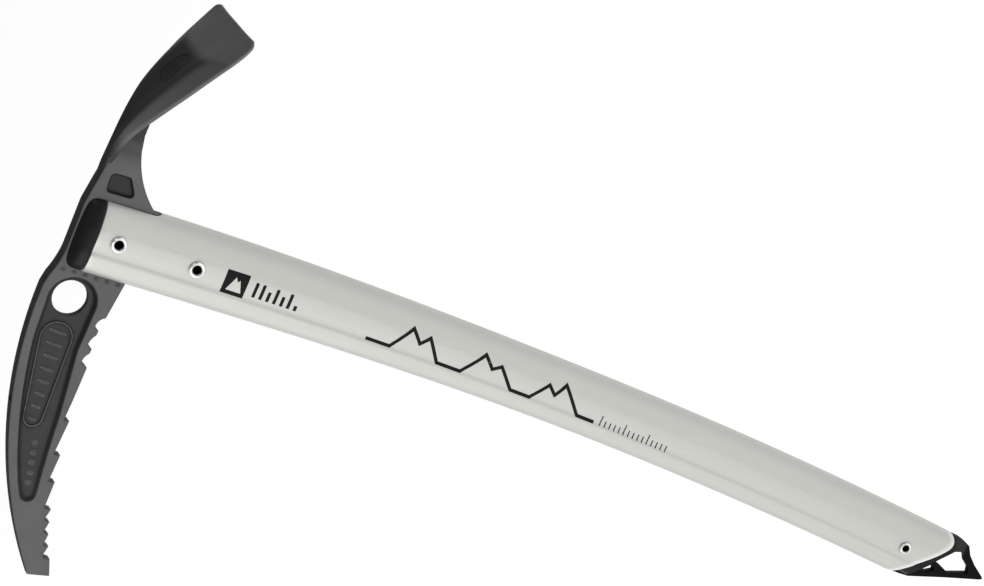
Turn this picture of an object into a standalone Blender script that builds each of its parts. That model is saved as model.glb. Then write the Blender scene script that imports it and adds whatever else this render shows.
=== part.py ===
"""Ice axe: a forged head, a bent oval tube, a spike, their plugs and their tubular rivets.

Frame: the origin is the centre of the carabiner hole, +Z runs up the shaft to the head,
+X points to the adze and -X to the pick. Lengths here are in millimetres.
"""

import math

import bmesh
import bpy

MM = 0.001
GAP = 0.3  # clearance between pieces that rest on each other

LENGTH = 480.0  # from the saddle to the spike tip
SADDLE_Z = 10.6

# Shaft: a tube with blunt ends and flat facets, deeper at the head, bent towards the pick.
SHAFT_X = 30.4
BEND_2 = 1.40e-4
BEND_3 = 6.4e-8
TUBE_TOP = 1.0
TUBE_HALF_Y = 9.6
HEAD_HALF_X = 17.2
LOW_HALF_X = 14.45
TAPER_END = -260.0
WALL = 1.5
NOSE = 9.0
ADZE_FACET_FROM = 0.2
ADZE_FACET_SLOPE = TUBE_HALF_Y / 48  # both facets fall by a share of the thickness
PICK_FACET_FROM = 0.38
PICK_FACET_SLOPE = TUBE_HALF_Y / 60
FACET_CREASE = 0.03
FLUTE_AT = -0.34
FLUTE_DEPTH = 0.42
FLUTE_WIDTH = 0.07
FLUTE_RUN = 0.26

# Head: a plate that thins towards the pick tip.
PLATE_HALF = 3.8
TIP_HALF = 2.4
TIP_X = -126.0
TAPER_X = 14.0
POCKET_HALF = 1.7
RING_HALF = 2.35
RECESS_DEPTH = 1.5
HOLE_D = 16.0
NECK_LOW_Z = -20.6
TANG_LOW_Z = -58.0
TANG_HALF = HEAD_HALF_X - WALL - 3.9
SLOT_HALF = PLATE_HALF + 0.4
SLOT_LOW_Z = NECK_LOW_Z - SLOT_HALF - 0.6

# Plugs.
PLUG_LOW_Z = -56.0
PLUG_DOME = 9.2
SPIKE_PLUG_RISE = 48.6

# Spike: its points and the cuts of the tube's end count from (axis, CUT_Z).
SPIKE_HALF = 2.0
SPIKE_TANG_RISE = 44.6
SPIKE_REACH = 22.6
CUT_Z = SADDLE_Z - LENGTH + SPIKE_REACH
END_SCALE = LOW_HALF_X / 14.45
END_SHIFT = 0.3  # the steel sits a little to the adze's side of the axis

# Rivets: centre (x, z), or (x, z) from the tube's lower end, then flange, shank and bore radius.
UPPER_RIVET = ((31.0, -9.0), 3.7, 2.6, 1.95)
LOWER_RIVET = ((30.4, -46.6), 3.7, 2.6, 1.95)
SPIKE_RIVET = ((3.6, 25.7), 2.8, 1.9, 1.4)
RIVET_RISE = 0.9
WASHER = 0.6

FORGED = (0.045, 0.046, 0.048, 1.0)
TUBE_PAINT = (0.57, 0.57, 0.53, 1.0)
BLACK_PLASTIC = (0.012, 0.012, 0.013, 1.0)
BLACK_STEEL = (0.02, 0.02, 0.021, 1.0)
BRIGHT_STEEL = (0.75, 0.75, 0.74, 1.0)


def material(name, colour, roughness, metallic):
    made = bpy.data.materials.new(name)
    made.use_nodes = True
    shader = made.node_tree.nodes["Principled BSDF"]
    shader.inputs["Base Color"].default_value = colour
    shader.inputs["Roughness"].default_value = roughness
    shader.inputs["Metallic"].default_value = metallic
    made.diffuse_color = colour
    return made


def solid(name, points, faces, made=None):
    """A mesh object from millimetre points; without a material it is a helper shape."""
    mesh = bpy.data.meshes.new(name)
    mesh.from_pydata([(x * MM, y * MM, z * MM) for x, y, z in points], [], faces)
    work = bmesh.new()
    work.from_mesh(mesh)
    bmesh.ops.recalc_face_normals(work, faces=work.faces)
    work.to_mesh(mesh)
    work.free()
    obj = bpy.data.objects.new(name, mesh)
    bpy.context.scene.collection.objects.link(obj)
    if made:
        mesh.materials.append(made)
    else:
        obj.hide_render = True
        obj.display_type = "WIRE"
    return obj


def loft(name, rings, made=None):
    """Closed rings of equal length joined in order and capped at both ends."""
    count = len(rings[0])
    faces = [tuple(range(count)), tuple(range((len(rings) - 1) * count, len(rings) * count))]
    for row in range(len(rings) - 1):
        for i in range(count):
            j = (i + 1) % count
            low = row * count
            faces.append((low + i, low + j, low + count + j, low + count + i))
    return solid(name, [point for ring in rings for point in ring], faces, made)


def slab(name, outline, low_y, high_y, made=None):
    """An (x, z) outline made solid between two y values."""
    return loft(name, [[(x, y, z) for x, z in outline] for y in (low_y, high_y)], made)


def box(name, low, high):
    (x0, y0, z0), (x1, y1, z1) = low, high
    return slab(name, [(x0, z0), (x1, z0), (x1, z1), (x0, z1)], y0, y1)


def rod(name, centre, radius, low_y, high_y, steps=32):
    x, z = centre
    turns = [2 * math.pi * i / steps for i in range(steps)]
    return slab(
        name, [(x + radius * math.cos(t), z + radius * math.sin(t)) for t in turns], low_y, high_y
    )


def lathe(name, centre, profile, made, steps=40):
    """A closed (radius, y) profile turned round the y direction through an (x, z) centre."""
    x, z = centre
    count = len(profile)
    points = []
    faces = []
    for i in range(steps):
        t = 2 * math.pi * i / steps
        points += [(x + r * math.cos(t), y, z + r * math.sin(t)) for r, y in profile]
        for j in range(count):
            here = (i * count + j, i * count + (j + 1) % count)
            there = [((i + 1) % steps) * count + k % count for k in here]
            faces.append((here[0], here[1], there[1], there[0]))
    return solid(name, points, faces, made)


def arc(first, middle, last, steps):
    """Points on the circle through three points, both ends included."""
    (ax, az), (bx, bz), (cx, cz) = first, middle, last
    d = 2 * (ax * (bz - cz) + bx * (cz - az) + cx * (az - bz))
    a2, b2, c2 = ax * ax + az * az, bx * bx + bz * bz, cx * cx + cz * cz
    x = (a2 * (bz - cz) + b2 * (cz - az) + c2 * (az - bz)) / d
    z = (a2 * (cx - bx) + b2 * (ax - cx) + c2 * (bx - ax)) / d
    start, half, end = (math.atan2(pz - z, px - x) for px, pz in (first, middle, last))
    turn = 2 * math.pi
    sweep = (end - start) % turn
    if (half - start) % turn > sweep:
        sweep -= turn
    radius = math.hypot(ax - x, az - z)
    angles = [start + sweep * i / steps for i in range(steps + 1)]
    return [(x + radius * math.cos(t), z + radius * math.sin(t)) for t in angles]


def rounded(corners, radius, steps=5):
    """A convex outline with each corner replaced by an arc of this radius."""
    found = []
    for i, (x, z) in enumerate(corners):
        px, pz = corners[i - 1]
        nx, nz = corners[(i + 1) % len(corners)]
        u = (px - x, pz - z)
        v = (nx - x, nz - z)
        lu, lv = math.hypot(*u), math.hypot(*v)
        u = (u[0] / lu, u[1] / lu)
        v = (v[0] / lv, v[1] / lv)
        half = math.acos(u[0] * v[0] + u[1] * v[1]) / 2
        back = radius / math.tan(half)
        wide = radius / math.sin(half)
        mid = (u[0] + v[0], u[1] + v[1])
        lm = math.hypot(*mid)
        deep = (wide - radius) / lm
        found += arc(
            (x + u[0] * back, z + u[1] * back),
            (x + mid[0] * deep, z + mid[1] * deep),
            (x + v[0] * back, z + v[1] * back),
            steps,
        )
    return found


def change(obj, tool, operation):
    step = obj.modifiers.new(f"{operation.lower()}_{tool.name}", "BOOLEAN")
    step.operation = operation
    step.solver = "EXACT"
    step.object = tool


def cut(obj, *tools):
    for tool in tools:
        change(obj, tool, "DIFFERENCE")


def add(obj, *tools):
    for tool in tools:
        change(obj, tool, "UNION")


def ease(t):
    t = min(max(t, 0.0), 1.0)
    return t * t * (3 - 2 * t)


def shaft_x(z):
    down = max(-z, 0.0)
    return SHAFT_X - BEND_2 * down**2 - BEND_3 * down**3


def shaft_half(z):
    return LOW_HALF_X + (HEAD_HALF_X - LOW_HALF_X) * (1 - ease(z / TAPER_END))


def past(start):
    """0 before a place on the section and rising evenly after it, with a soft crease."""
    return (start + math.sqrt(start**2 + FACET_CREASE**2)) / 2


def section(z, inset=0.0, flute=0.0, around=22):
    """The tube at height z; s runs from the adze edge (1) to the pick edge (-1)."""
    half_x, half_y = shaft_half(z) - inset, TUBE_HALF_Y - inset
    spots = [math.cos(math.pi * i / around) for i in range(1, around)]
    spots = sorted(spots + [FLUTE_AT, FLUTE_AT + 0.12, ADZE_FACET_FROM], reverse=True)
    side = []
    for s in spots:
        fall = ADZE_FACET_SLOPE * past(s - ADZE_FACET_FROM)
        fall += PICK_FACET_SLOPE * past(-s - PICK_FACET_FROM)
        y = (half_y - half_x * fall) * (1 - abs(s) ** NOSE) ** 0.4545
        wide = FLUTE_RUN if s > FLUTE_AT else FLUTE_WIDTH
        y -= flute * math.exp(-(((s - FLUTE_AT) / wide) ** 2))
        side.append((shaft_x(z) + half_x * s, y, z))
    ends = [(shaft_x(z) + half_x, 0.0, z)], [(shaft_x(z) - half_x, 0.0, z)]
    return ends[0] + side + ends[1] + [(x, -y, h) for x, y, h in reversed(side)]


def levels(high, low, count):
    return [high + (low - high) * i / (count - 1) for i in range(count)]


def from_end(points):
    """Points given from the tube's axis at CUT_Z, as (x, z) in the axe's own frame."""
    return [(shaft_x(CUT_Z) + END_SHIFT + x * END_SCALE, CUT_Z + z) for x, z in points]


RIVETS = {
    "upper": UPPER_RIVET,
    "lower": LOWER_RIVET,
    "spike": (from_end([SPIKE_RIVET[0]])[0],) + SPIKE_RIVET[1:],
}


# The oblique rounded cut across the tube, and the lower one that the plug shows under it.
TUBE_CUT = [(-21.1, 33.6), (-10.0, 26.6), (-5.4, 20.4), (-0.3, 13.6), (6.6, 5.1)]
TUBE_CUT += arc((7.6, 4.1), (9.4, 2.5), (12.0, 1.7), 8) + [(27.0, 1.7)]
PLUG_CUT = [(-21.1, 27.8), (-9.2, 16.8), (-0.1, 8.4), (5.6, 2.8)]
PLUG_CUT += arc((6.8, 1.6), (8.8, -0.2), (11.4, -1.0), 6) + [(27.0, -1.0)]


def below_cut(name, line):
    """What lies past a cut line across the tube's end."""
    return slab(name, from_end(line + [(27.0, -54.0), (-21.1, -54.0)]), -20.0, 20.0)


def plate_outline():
    """The head from the side, without the adze, its tang inside the tube included."""
    spine = [(96.0, -1.8), (86.0, 2.2), (74.0, 5.4), (62.0, 7.6), (53.0, 9.1), (43.0, SADDLE_Z)]
    spine += arc((21.0, SADDLE_Z), (13.5, 11.8), (7.8, 13.6), 4)
    spine += arc((2.6, 14.6), (-57.3, 6.7), (TIP_X, -28.3), 18)
    tip = [(-125.8, -29.6), (-124.2, -38.4)]
    small = [(-116.5, -35.6), (-116.4, -32.6), (-115.6, -31.9), (-111.0, -32.9), (-110.7, -30.4)]
    small += [(-105.6, -30.8), (-104.9, -28.3), (-100.1, -29.1), (-99.3, -26.4), (-94.4, -27.6)]
    small += [(-94.3, -24.4)]
    large = [(-81.8, -24.5), (-81.9, -21.6), (-69.3, -22.2), (-69.4, -19.2), (-53.2, -20.2)]
    large += [(-53.1, -17.7), (-43.8, -18.2), (-27.7, -18.6), (-26.0, -15.5)]
    lobes = arc((-25.7, -15.3), (-23.1, -15.9), (-21.2, -17.3), 4) + [(-19.0, -17.5), (-17.7, -15.4)]
    lobes += arc((-17.4, -15.1), (-14.6, -15.7), (-12.5, -17.1), 4) + [(-10.3, -17.3), (-9.0, -15.4)]
    lobes += arc((-8.7, -15.1), (-5.9, -15.8), (-3.9, -18.2), 4)
    shelf = [(SHAFT_X - HEAD_HALF_X - 0.1, NECK_LOW_Z)]
    tang = [(-TANG_HALF, NECK_LOW_Z), (1.0 - TANG_HALF, TANG_LOW_Z + 8.0)]
    tang += [(4.5 - TANG_HALF, TANG_LOW_Z), (TANG_HALF - 4.5, TANG_LOW_Z)]
    tang += [(TANG_HALF - 1.0, TANG_LOW_Z + 8.0), (TANG_HALF, NECK_LOW_Z)]
    tang = [(SHAFT_X + x, z) for x, z in tang]
    neck = arc((SHAFT_X + HEAD_HALF_X + 0.9, NECK_LOW_Z), (58.2, -11.8), (72.0, -5.5), 7)
    rib = [(79.0, -4.2), (90.0, -4.4), (104.0, -8.0), (107.0, -7.6), (100.0, -4.0)]
    return spine + tip + small + large + lobes + shelf + tang + neck + rib


def plate_half(x):
    return PLATE_HALF + (PLATE_HALF - TIP_HALF) * min(x - TAPER_X, 0.0) / (TAPER_X - TIP_X)


def split_outline(outline, at):
    """The outline with a point added wherever it crosses x = at."""
    found = []
    for i, (x, z) in enumerate(outline):
        nx, nz = outline[(i + 1) % len(outline)]
        found.append((x, z))
        if (x - at) * (nx - at) < 0:
            found.append((at, z + (nz - z) * (at - x) / (nx - x)))
    return found


def head_plate(name, made):
    """The plate in two flat stretches per side: full thickness, then thinning to the tip."""
    outline = split_outline(plate_outline(), TAPER_X)
    count = len(outline)
    points = [(x, side * plate_half(x), z) for side in (-1, 1) for x, z in outline]
    crossing = [i for i, (x, _) in enumerate(outline) if x == TAPER_X]
    first, second = crossing
    inner = list(range(first, second + 1))
    outer = list(range(second, count)) + list(range(first + 1))
    faces = [tuple(ring) for ring in (inner, outer)]
    faces += [tuple(i + count for i in reversed(ring)) for ring in (inner, outer)]
    for i in range(count):
        j = (i + 1) % count
        faces.append((i, j, count + j, count + i))
    return solid(name, points, faces, made)


# Adze stations: x, top z, half width, drop of the edges, dish, middle and edge thickness.
ADZE = (
    (52.0, 8.4, 2.6, 0.3, 0.0, 5.6, 4.0),
    (56.0, 8.7, 3.2, 0.4, 0.0, 5.6, 3.4),
    (62.0, 8.7, 3.7, 0.6, 0.1, 5.8, 3.0),
    (68.0, 8.2, 4.5, 1.2, 0.2, 5.6, 2.6),
    (74.0, 7.4, 6.0, 1.9, 0.4, 5.2, 2.4),
    (82.0, 5.7, 10.0, 2.8, 0.8, 4.6, 2.3),
    (90.0, 3.3, 15.4, 3.4, 1.1, 4.2, 2.3),
    (98.0, 0.3, 20.4, 3.6, 1.3, 4.0, 2.3),
    (106.0, -3.6, 24.4, 3.5, 1.3, 3.9, 2.3),
    (116.0, -9.3, 27.9, 3.1, 1.1, 3.7, 2.3),
    (123.0, -14.1, 29.8, 2.5, 0.8, 3.5, 2.2),
    (126.5, -16.7, 30.6, 2.1, 0.4, 3.2, 2.1),
    (132.0, -20.6, 31.3, 1.4, 0.0, 2.4, 1.9),
    (135.4, -22.9, 31.4, 1.0, 0.0, 1.4, 1.4),
    (137.2, -24.0, 29.6, 0.7, 0.0, 1.0, 1.0),
    (138.0, -24.5, 27.4, 0.6, 0.0, 0.9, 0.9),
)


def adze_ring(x, top, half, drop, dish, middle, edge, across=7):
    upper = []
    for i in range(-across, across + 1):
        t = abs(i) / across
        z = top + dish * math.sin(math.pi * min(t / 0.62, (1 - t) / 0.38) / 2) ** 2
        z -= drop * max((t - 0.45) / 0.55, 0.0) ** 1.6
        upper.append((x, half * i / across, z, middle + (edge - middle) * t * t))
    lower = [(x, y, z - deep) for x, y, z, deep in reversed(upper)]
    return [(x, y, z) for x, y, z, _ in upper] + lower


def tapered_slot(first, first_r, last, last_r, steps=12):
    """The outline round two circles, from the larger near one to the smaller far one."""
    (ax, az), (bx, bz) = first, last
    way = math.atan2(bz - az, bx - ax)
    lean = math.acos((first_r - last_r) / math.hypot(bx - ax, bz - az))
    found = []
    for (x, z), r, start, sweep in (
        (first, first_r, way + lean, 2 * math.pi - 2 * lean),
        (last, last_r, way - lean, 2 * lean),
    ):
        for i in range(steps + 1):
            t = start + sweep * i / steps
            found.append((x + r * math.cos(t), z + r * math.sin(t)))
    return found


def build_head(made):
    head = head_plate("head", made)
    pocket = arc((-3.0, 10.6), (10.6, -1.0), (-1.5, -12.6), 14)
    pocket += [(-21.3, -11.9)] + arc((-51.5, -15.3), (-70.0, -16.6), (-88.0, -18.5), 3)
    pocket += arc((-90.6, -18.6), (-94.0, -15.2), (-91.4, -10.9), 5)
    pocket += arc((-86.0, -8.1), (-55.0, 2.8), (-19.6, 9.9), 8)
    recess = rounded([(59.6, 3.9), (59.8, -5.6), (50.5, -10.9), (50.4, 3.6)], 2.0)
    outer = tapered_slot((-18.8, -0.5), 7.8, (-56.0, -4.0), 4.9)
    inner = tapered_slot((-18.8, -0.5), 6.6, (-56.0, -4.0), 3.7)
    add(head, loft("adze_shape", [adze_ring(*station) for station in ADZE]))
    for side in (-1, 1):
        faces = sorted((side * POCKET_HALF, side * 8.0))
        cut(head, slab(f"pocket_cut_{side}", pocket, *faces))
        faces = sorted((side * (PLATE_HALF - RECESS_DEPTH), side * 8.0))
        cut(head, slab(f"recess_cut_{side}", recess, *faces))
        faces = sorted((side * (POCKET_HALF - 0.5), side * RING_HALF))
        ring = slab(f"ring_{side}", outer, *faces)
        faces = sorted((side * POCKET_HALF, side * 8.0))
        add(head, ring)
        cut(head, slab(f"ring_cut_{side}", inner, *faces))
    cut(head, rod("carabiner_cut", (0.0, 0.0), HOLE_D / 2, -8.0, 8.0, 48))
    for tag in ("upper", "lower"):
        centre, _, shank, _ = RIVETS[tag]
        cut(head, rod(f"head_{tag}_bore", centre, shank + GAP, -8.0, 8.0, 24))


def slot_shape(name, low_x, high_x, half, low_z, high_z):
    """A bar along x with a round lower end, as a slot or as what fills its end."""
    turns = [math.pi * i / 10 for i in range(11)]
    outline = [(-half * math.cos(t), low_z + half * (1 - math.sin(t))) for t in turns]
    outline += [(half, high_z), (-half, high_z)]
    return loft(name, [[(x, y, z) for y, z in outline] for x in (low_x, high_x)])


def build_shaft(made):
    heights = levels(TUBE_TOP, -60.0, 3) + levels(-80.0, CUT_Z - 8.0, 20)
    tube = loft("shaft_tube", [section(z, 0.0, FLUTE_DEPTH) for z in heights], made)
    bore = [section(z, WALL) for z in [TUBE_TOP + 5.0] + heights[1:-1] + [CUT_Z - 13.0]]
    cut(tube, loft("tube_bore", bore))
    for name, low_x, high_x in (("adze_slot", 36.0, 56.0), ("pick_slot", 6.0, 25.0)):
        cut(tube, slot_shape(name, low_x, high_x, SLOT_HALF, SLOT_LOW_Z, 20.0))
    cut(tube, below_cut("tube_end_cut", TUBE_CUT))
    for tag, rivet in RIVETS.items():
        cut(tube, rod(f"tube_{tag}_bore", rivet[0], rivet[2] + GAP, -20.0, 20.0, 24))


def dome_ring(t):
    """The plug's cap at a share t of its height."""
    wide = (1 - t**5) ** 0.2
    deep = math.sqrt(1 - t * t)
    z = TUBE_TOP + GAP + PLUG_DOME * t
    return [
        (SHAFT_X + (x - SHAFT_X) * wide, y * deep, z) for x, y, _ in section(TUBE_TOP)
    ]


def build_head_plugs(made):
    for side, tag in ((-1, "left"), (1, "right")):
        stem = [section(z, WALL + GAP) for z in (PLUG_LOW_Z, -30.0, TUBE_TOP)]
        neck = [(x, y, TUBE_TOP + GAP) for x, y, _ in section(TUBE_TOP, WALL + GAP)]
        cap = [dome_ring(t) for t in (0.0, 0.2, 0.4, 0.55, 0.7, 0.8, 0.88, 0.94, 0.985)]
        plug = loft(f"head_plug_{tag}", stem + [neck] + cap, made)
        inner = PLATE_HALF + GAP
        spread = sorted((side * -20.0, side * inner))
        cut(plug, box(f"plug_split_{tag}", (0.0, spread[0], -70.0), (60.0, spread[1], 20.0)))
        low, high = SLOT_LOW_Z + GAP, NECK_LOW_Z - GAP
        near = SHAFT_X - side * (TANG_HALF + GAP)
        span = sorted((near, SHAFT_X - side * (HEAD_HALF_X - 0.5)))
        add(plug, slot_shape(f"slot_fill_{tag}", *span, SLOT_HALF - GAP, low, high))
        span = sorted((near - side * 0.15, near - side * 0.8))
        reach = sorted((side * (PLATE_HALF - 0.8), side * (inner + 0.12)))
        root = (span[0], reach[0], high - 2.7), (span[1], reach[1], high - 0.4)
        add(plug, box(f"slot_root_{tag}", *root))
        for name in ("upper", "lower"):
            centre, _, shank, _ = RIVETS[name]
            cut(plug, rod(f"plug_{name}_{tag}", centre, shank + GAP, -20.0, 20.0, 24))


def build_spike_plugs(made):
    for side, tag in ((-1, "left"), (1, "right")):
        rings = [section(CUT_Z + z, WALL + GAP) for z in levels(SPIKE_PLUG_RISE, -13.0, 5)]
        plug = loft(f"spike_plug_{tag}", rings, made)
        cut(plug, below_cut(f"spike_plug_end_{tag}", PLUG_CUT))
        spread = sorted((side * -20.0, side * (SPIKE_HALF + GAP)))
        corners = from_end([(-40.0, -40.0), (40.0, -40.0), (40.0, 60.0), (-40.0, 60.0)])
        cut(plug, slab(f"spike_split_{tag}", corners, *spread))
        centre, _, shank, _ = RIVETS["spike"]
        cut(plug, rod(f"spike_plug_bore_{tag}", centre, shank + GAP, -20.0, 20.0, 24))


def build_spike(made):
    """A flat spike: its tang inside the tube, a top block, a back bar, a web and a strut."""
    tang = [(-1.6, SPIKE_TANG_RISE), (14.9, SPIKE_TANG_RISE), (12.7, 21.6), (10.3, 1.9)]
    block = [(10.3, 1.3), (14.2, 1.3), (13.8, -2.6), (12.6, -6.2), (11.0, -9.4)]
    web = [(6.9, -11.8), (2.9, -16.0), (-1.4, -21.8), (-2.4, -SPIKE_REACH), (-3.1, -21.2)]
    bar = [(-6.8, -3.8), (-11.1, 14.3), (-11.0, 20.0), (-10.5, 24.6), (-8.7, 22.0), (-7.3, 24.0)]
    spike = slab("spike", from_end(tang + block + web + bar), -SPIKE_HALF, SPIKE_HALF, made)
    main = [(-0.8, 3.9), (6.4, -3.6), (7.2, -6.7), (6.0, -8.6), (3.5, -10.0), (0.9, -13.3)]
    main += [(-1.7, -13.9), (-4.3, -4.6), (-1.7, 0.8)]
    small = [(-6.6, 9.8), (-3.0, 5.6), (-3.6, 3.6), (-4.9, 3.3), (-6.3, 6.0)]
    cut(spike, slab("main_opening", from_end(main), -8.0, 8.0))
    cut(spike, slab("small_opening", from_end(small), -8.0, 8.0))
    centre, _, shank, _ = RIVETS["spike"]
    cut(spike, rod("spike_bore", centre, shank + GAP, -8.0, 8.0, 24))


def build_rivet(name, rivet, made):
    """A tubular rivet, its flange on the -Y side and its rolled lip on a washer."""
    centre, flange, shank, bore = rivet
    face = TUBE_HALF_Y + GAP
    back = face + WASHER + GAP
    profile = [(bore, -face - 0.55), (bore + 0.35, -face - RIVET_RISE), (flange - 0.5, -face - 0.8)]
    profile += [(flange, -face - 0.35), (flange, -face), (shank, -face), (shank, back)]
    profile += [(flange - 0.4, back), (flange - 0.4, back + 0.35), (flange - 0.9, back + 0.75)]
    profile += [(bore + 0.35, back + 0.8), (bore, back + 0.45)]
    lathe(name, centre, profile, made)
    ring = [(shank + GAP, face), (flange + 0.5, face), (flange + 0.5, back - GAP)]
    ring += [(shank + GAP, back - GAP)]
    lathe(f"{name}_washer", centre, ring, made)


def build():
    for obj in list(bpy.data.objects):
        bpy.data.objects.remove(obj, do_unlink=True)
    steel = material("bright_steel", BRIGHT_STEEL, 0.25, 1.0)
    plastic = material("black_plastic", BLACK_PLASTIC, 0.4, 0.0)
    build_head(material("forged_steel", FORGED, 0.5, 0.6))
    build_shaft(material("shaft_finish", TUBE_PAINT, 0.35, 0.6))
    build_head_plugs(plastic)
    build_spike_plugs(plastic)
    build_spike(material("black_steel", BLACK_STEEL, 0.45, 0.5))
    build_rivet("upper_head_rivet", RIVETS["upper"], steel)
    build_rivet("lower_head_rivet", RIVETS["lower"], steel)
    build_rivet("spike_rivet", RIVETS["spike"], steel)


build()
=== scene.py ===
# %% [markdown]
# # An ice axe, finished around its packed frame
# A walking ice axe has a forged steel head, an oval alloy tube bent a little towards the
# pick, a flat steel spike and black plastic plugs, all held by three tubular rivets. The
# packed model gives every place and size. The pieces below are built on it in millimetres,
# finer than the packed solids, and each gets a finish with its own grain, sheen and wear.

import math

import bmesh
import bpy
import numpy as np
from mathutils import Matrix, Vector
from mathutils.geometry import delaunay_2d_cdt


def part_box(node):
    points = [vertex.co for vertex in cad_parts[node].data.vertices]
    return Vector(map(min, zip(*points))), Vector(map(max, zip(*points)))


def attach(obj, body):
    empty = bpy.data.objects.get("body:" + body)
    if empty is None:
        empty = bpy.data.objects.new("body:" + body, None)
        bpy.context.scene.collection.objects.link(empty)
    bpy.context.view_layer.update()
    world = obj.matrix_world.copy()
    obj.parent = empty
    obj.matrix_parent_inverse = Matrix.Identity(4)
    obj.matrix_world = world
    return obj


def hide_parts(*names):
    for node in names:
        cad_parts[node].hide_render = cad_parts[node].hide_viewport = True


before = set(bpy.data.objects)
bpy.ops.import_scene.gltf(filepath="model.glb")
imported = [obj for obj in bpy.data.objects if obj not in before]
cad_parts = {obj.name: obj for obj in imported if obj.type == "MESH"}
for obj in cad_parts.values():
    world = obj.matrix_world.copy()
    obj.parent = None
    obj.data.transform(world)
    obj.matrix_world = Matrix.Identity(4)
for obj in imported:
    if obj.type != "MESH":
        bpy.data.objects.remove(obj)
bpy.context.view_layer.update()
MM = 0.001
print("nodes of the frame:", sorted(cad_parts))

# %% [markdown]
# ## Places and sizes from the frame
# Rivets, tube and plate give their places through their boxes. Only the rules that a box
# can't hold, such as the bend of the tube, are written again here with the numbers that
# the packed solids were made with. The origin is the centre of the carabiner hole, +Z runs
# up the shaft, +X points to the adze, and everything here counts in millimetres.


# %% Boxes in millimetres
def box_of(node):
    """Lowest and highest corner of a node of the frame, in millimetres."""
    low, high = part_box(node)
    return np.array(low) / MM, np.array(high) / MM


TUBE_LOW, TUBE_HIGH = box_of("shaft_tube")
TUBE_TOP = TUBE_HIGH[2]
TUBE_HALF_Y = TUBE_HIGH[1]
RIVETS = {}
for tag in ("upper_head_rivet", "lower_head_rivet", "spike_rivet"):
    low, high = box_of(tag)
    RIVETS[tag] = (low + high) / 2, (high[0] - low[0]) / 2
    print(tag, "centre", RIVETS[tag][0].round(2), "flange radius", round(RIVETS[tag][1], 2))

# %% Rules of the tube and the plate
GAP = 0.3
SADDLE_Z = 10.6
LENGTH = SADDLE_Z - box_of("spike")[0][2]
SHAFT_X = 30.4
BEND_2 = 1.40e-4
BEND_3 = 6.4e-8
HEAD_HALF_X = 17.2
LOW_HALF_X = 14.45
TAPER_END = -260.0
WALL = 1.5
SPIKE_REACH = 22.6
CUT_Z = SADDLE_Z - LENGTH + SPIKE_REACH
END_SHIFT = 0.3
FLANGE, SHANK, BORE = 3.7, 2.6, 1.95  # radii of a head rivet
SPIKE_SHANK = 1.9
PLATE_HALF = 3.8
TIP_HALF = 2.4
TIP_X = -126.0
TAPER_X = 14.0
POCKET_HALF = 1.7
RING_HALF = 2.35
HOLE_RADIUS = 8.0
NECK_LOW_Z = -20.6
TANG_LOW_Z = -58.0


def ease(t):
    t = np.clip(t, 0.0, 1.0)
    return t * t * (3 - 2 * t)


def shaft_x(z):
    down = np.maximum(-z, 0.0)
    return SHAFT_X - BEND_2 * down**2 - BEND_3 * down**3


def shaft_half(z):
    return LOW_HALF_X + (HEAD_HALF_X - LOW_HALF_X) * (1 - ease(z / TAPER_END))


def from_end(points):
    """Points counted from the tube's axis at the cut, in the axe's own frame."""
    return [(shaft_x(CUT_Z) + END_SHIFT + x, CUT_Z + z) for x, z in points]


print("tube", TUBE_LOW.round(1), TUBE_HIGH.round(1), "cut at", round(CUT_Z, 1))

# %% [markdown]
# ## Camera
# The axe lies in the view with its head at the left and its spike at the lower right, so
# the camera is turned on its own axis as well as placed above and beside the shaft. It is
# made before the pieces, from three directions: right, up and back. A long lens keeps the
# perspective as mild as in a catalogue picture.

# %% The camera
RIGHT = Vector((0.37204, -0.29443, -0.88028))
UP = Vector((0.90263, 0.33589, 0.26913))
BACK = Vector((0.21644, -0.89470, 0.39073))
AIM = Vector((0.05670, 0.0, -0.18422))
AWAY = 2.5
LENS = 206.0


def in_scene(name, data):
    """A new object at the origin for a mesh, a light or a camera."""
    obj = bpy.data.objects.new(name, data)
    bpy.context.scene.collection.objects.link(obj)
    return obj


camera = in_scene("camera", bpy.data.cameras.new("camera"))
camera.data.lens = LENS
camera.data.sensor_width = 36.0
turned = Matrix((RIGHT, UP, BACK)).transposed().to_4x4()
camera.matrix_world = Matrix.Translation(AIM + AWAY * BACK) @ turned
camera.data.clip_end = 60.0
bpy.context.scene.camera = camera
print("camera at", [round(v, 3) for v in camera.location])

# %% [markdown]
# ## Sums in node trees
# Node trees soon fill with Math nodes. A small class wraps a socket and overloads the
# arithmetic signs, so a rule can be written as a sum, both in a material and in a
# Geometry Nodes tree. Any other node comes from one method that takes its type, its
# settings and the values of its sockets.


# %% A socket that takes part in sums
class Term:
    """A socket of a node tree; each sign adds one Math node."""

    def __init__(self, bench, socket):
        self.bench = bench
        self.socket = socket

    def maths(self, operation, *others, first=None):
        values = dict(enumerate((self if first is None else first, *others)))
        return self.bench.node("ShaderNodeMath", {"operation": operation}, values)

    def __add__(self, other):
        return self.maths("ADD", other)

    def __sub__(self, other):
        return self.maths("SUBTRACT", other)

    def __rsub__(self, other):
        return self.maths("SUBTRACT", self, first=other)

    def __mul__(self, other):
        return self.maths("MULTIPLY", other)

    def __truediv__(self, other):
        return self.maths("DIVIDE", other)

    def __pow__(self, other):
        return self.maths("POWER", other)

    def __abs__(self):
        return self.maths("ABSOLUTE")

    def at_least(self, other):
        return self.maths("MAXIMUM", other)

    def ramp(self, low, high):
        """0 below low, 1 above high and smooth between."""
        values = {"Value": self, "From Min": low, "From Max": high}
        return self.bench.node("ShaderNodeMapRange", {"interpolation_type": "SMOOTHSTEP"}, values)

    __radd__ = __add__
    __rmul__ = __mul__


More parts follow.
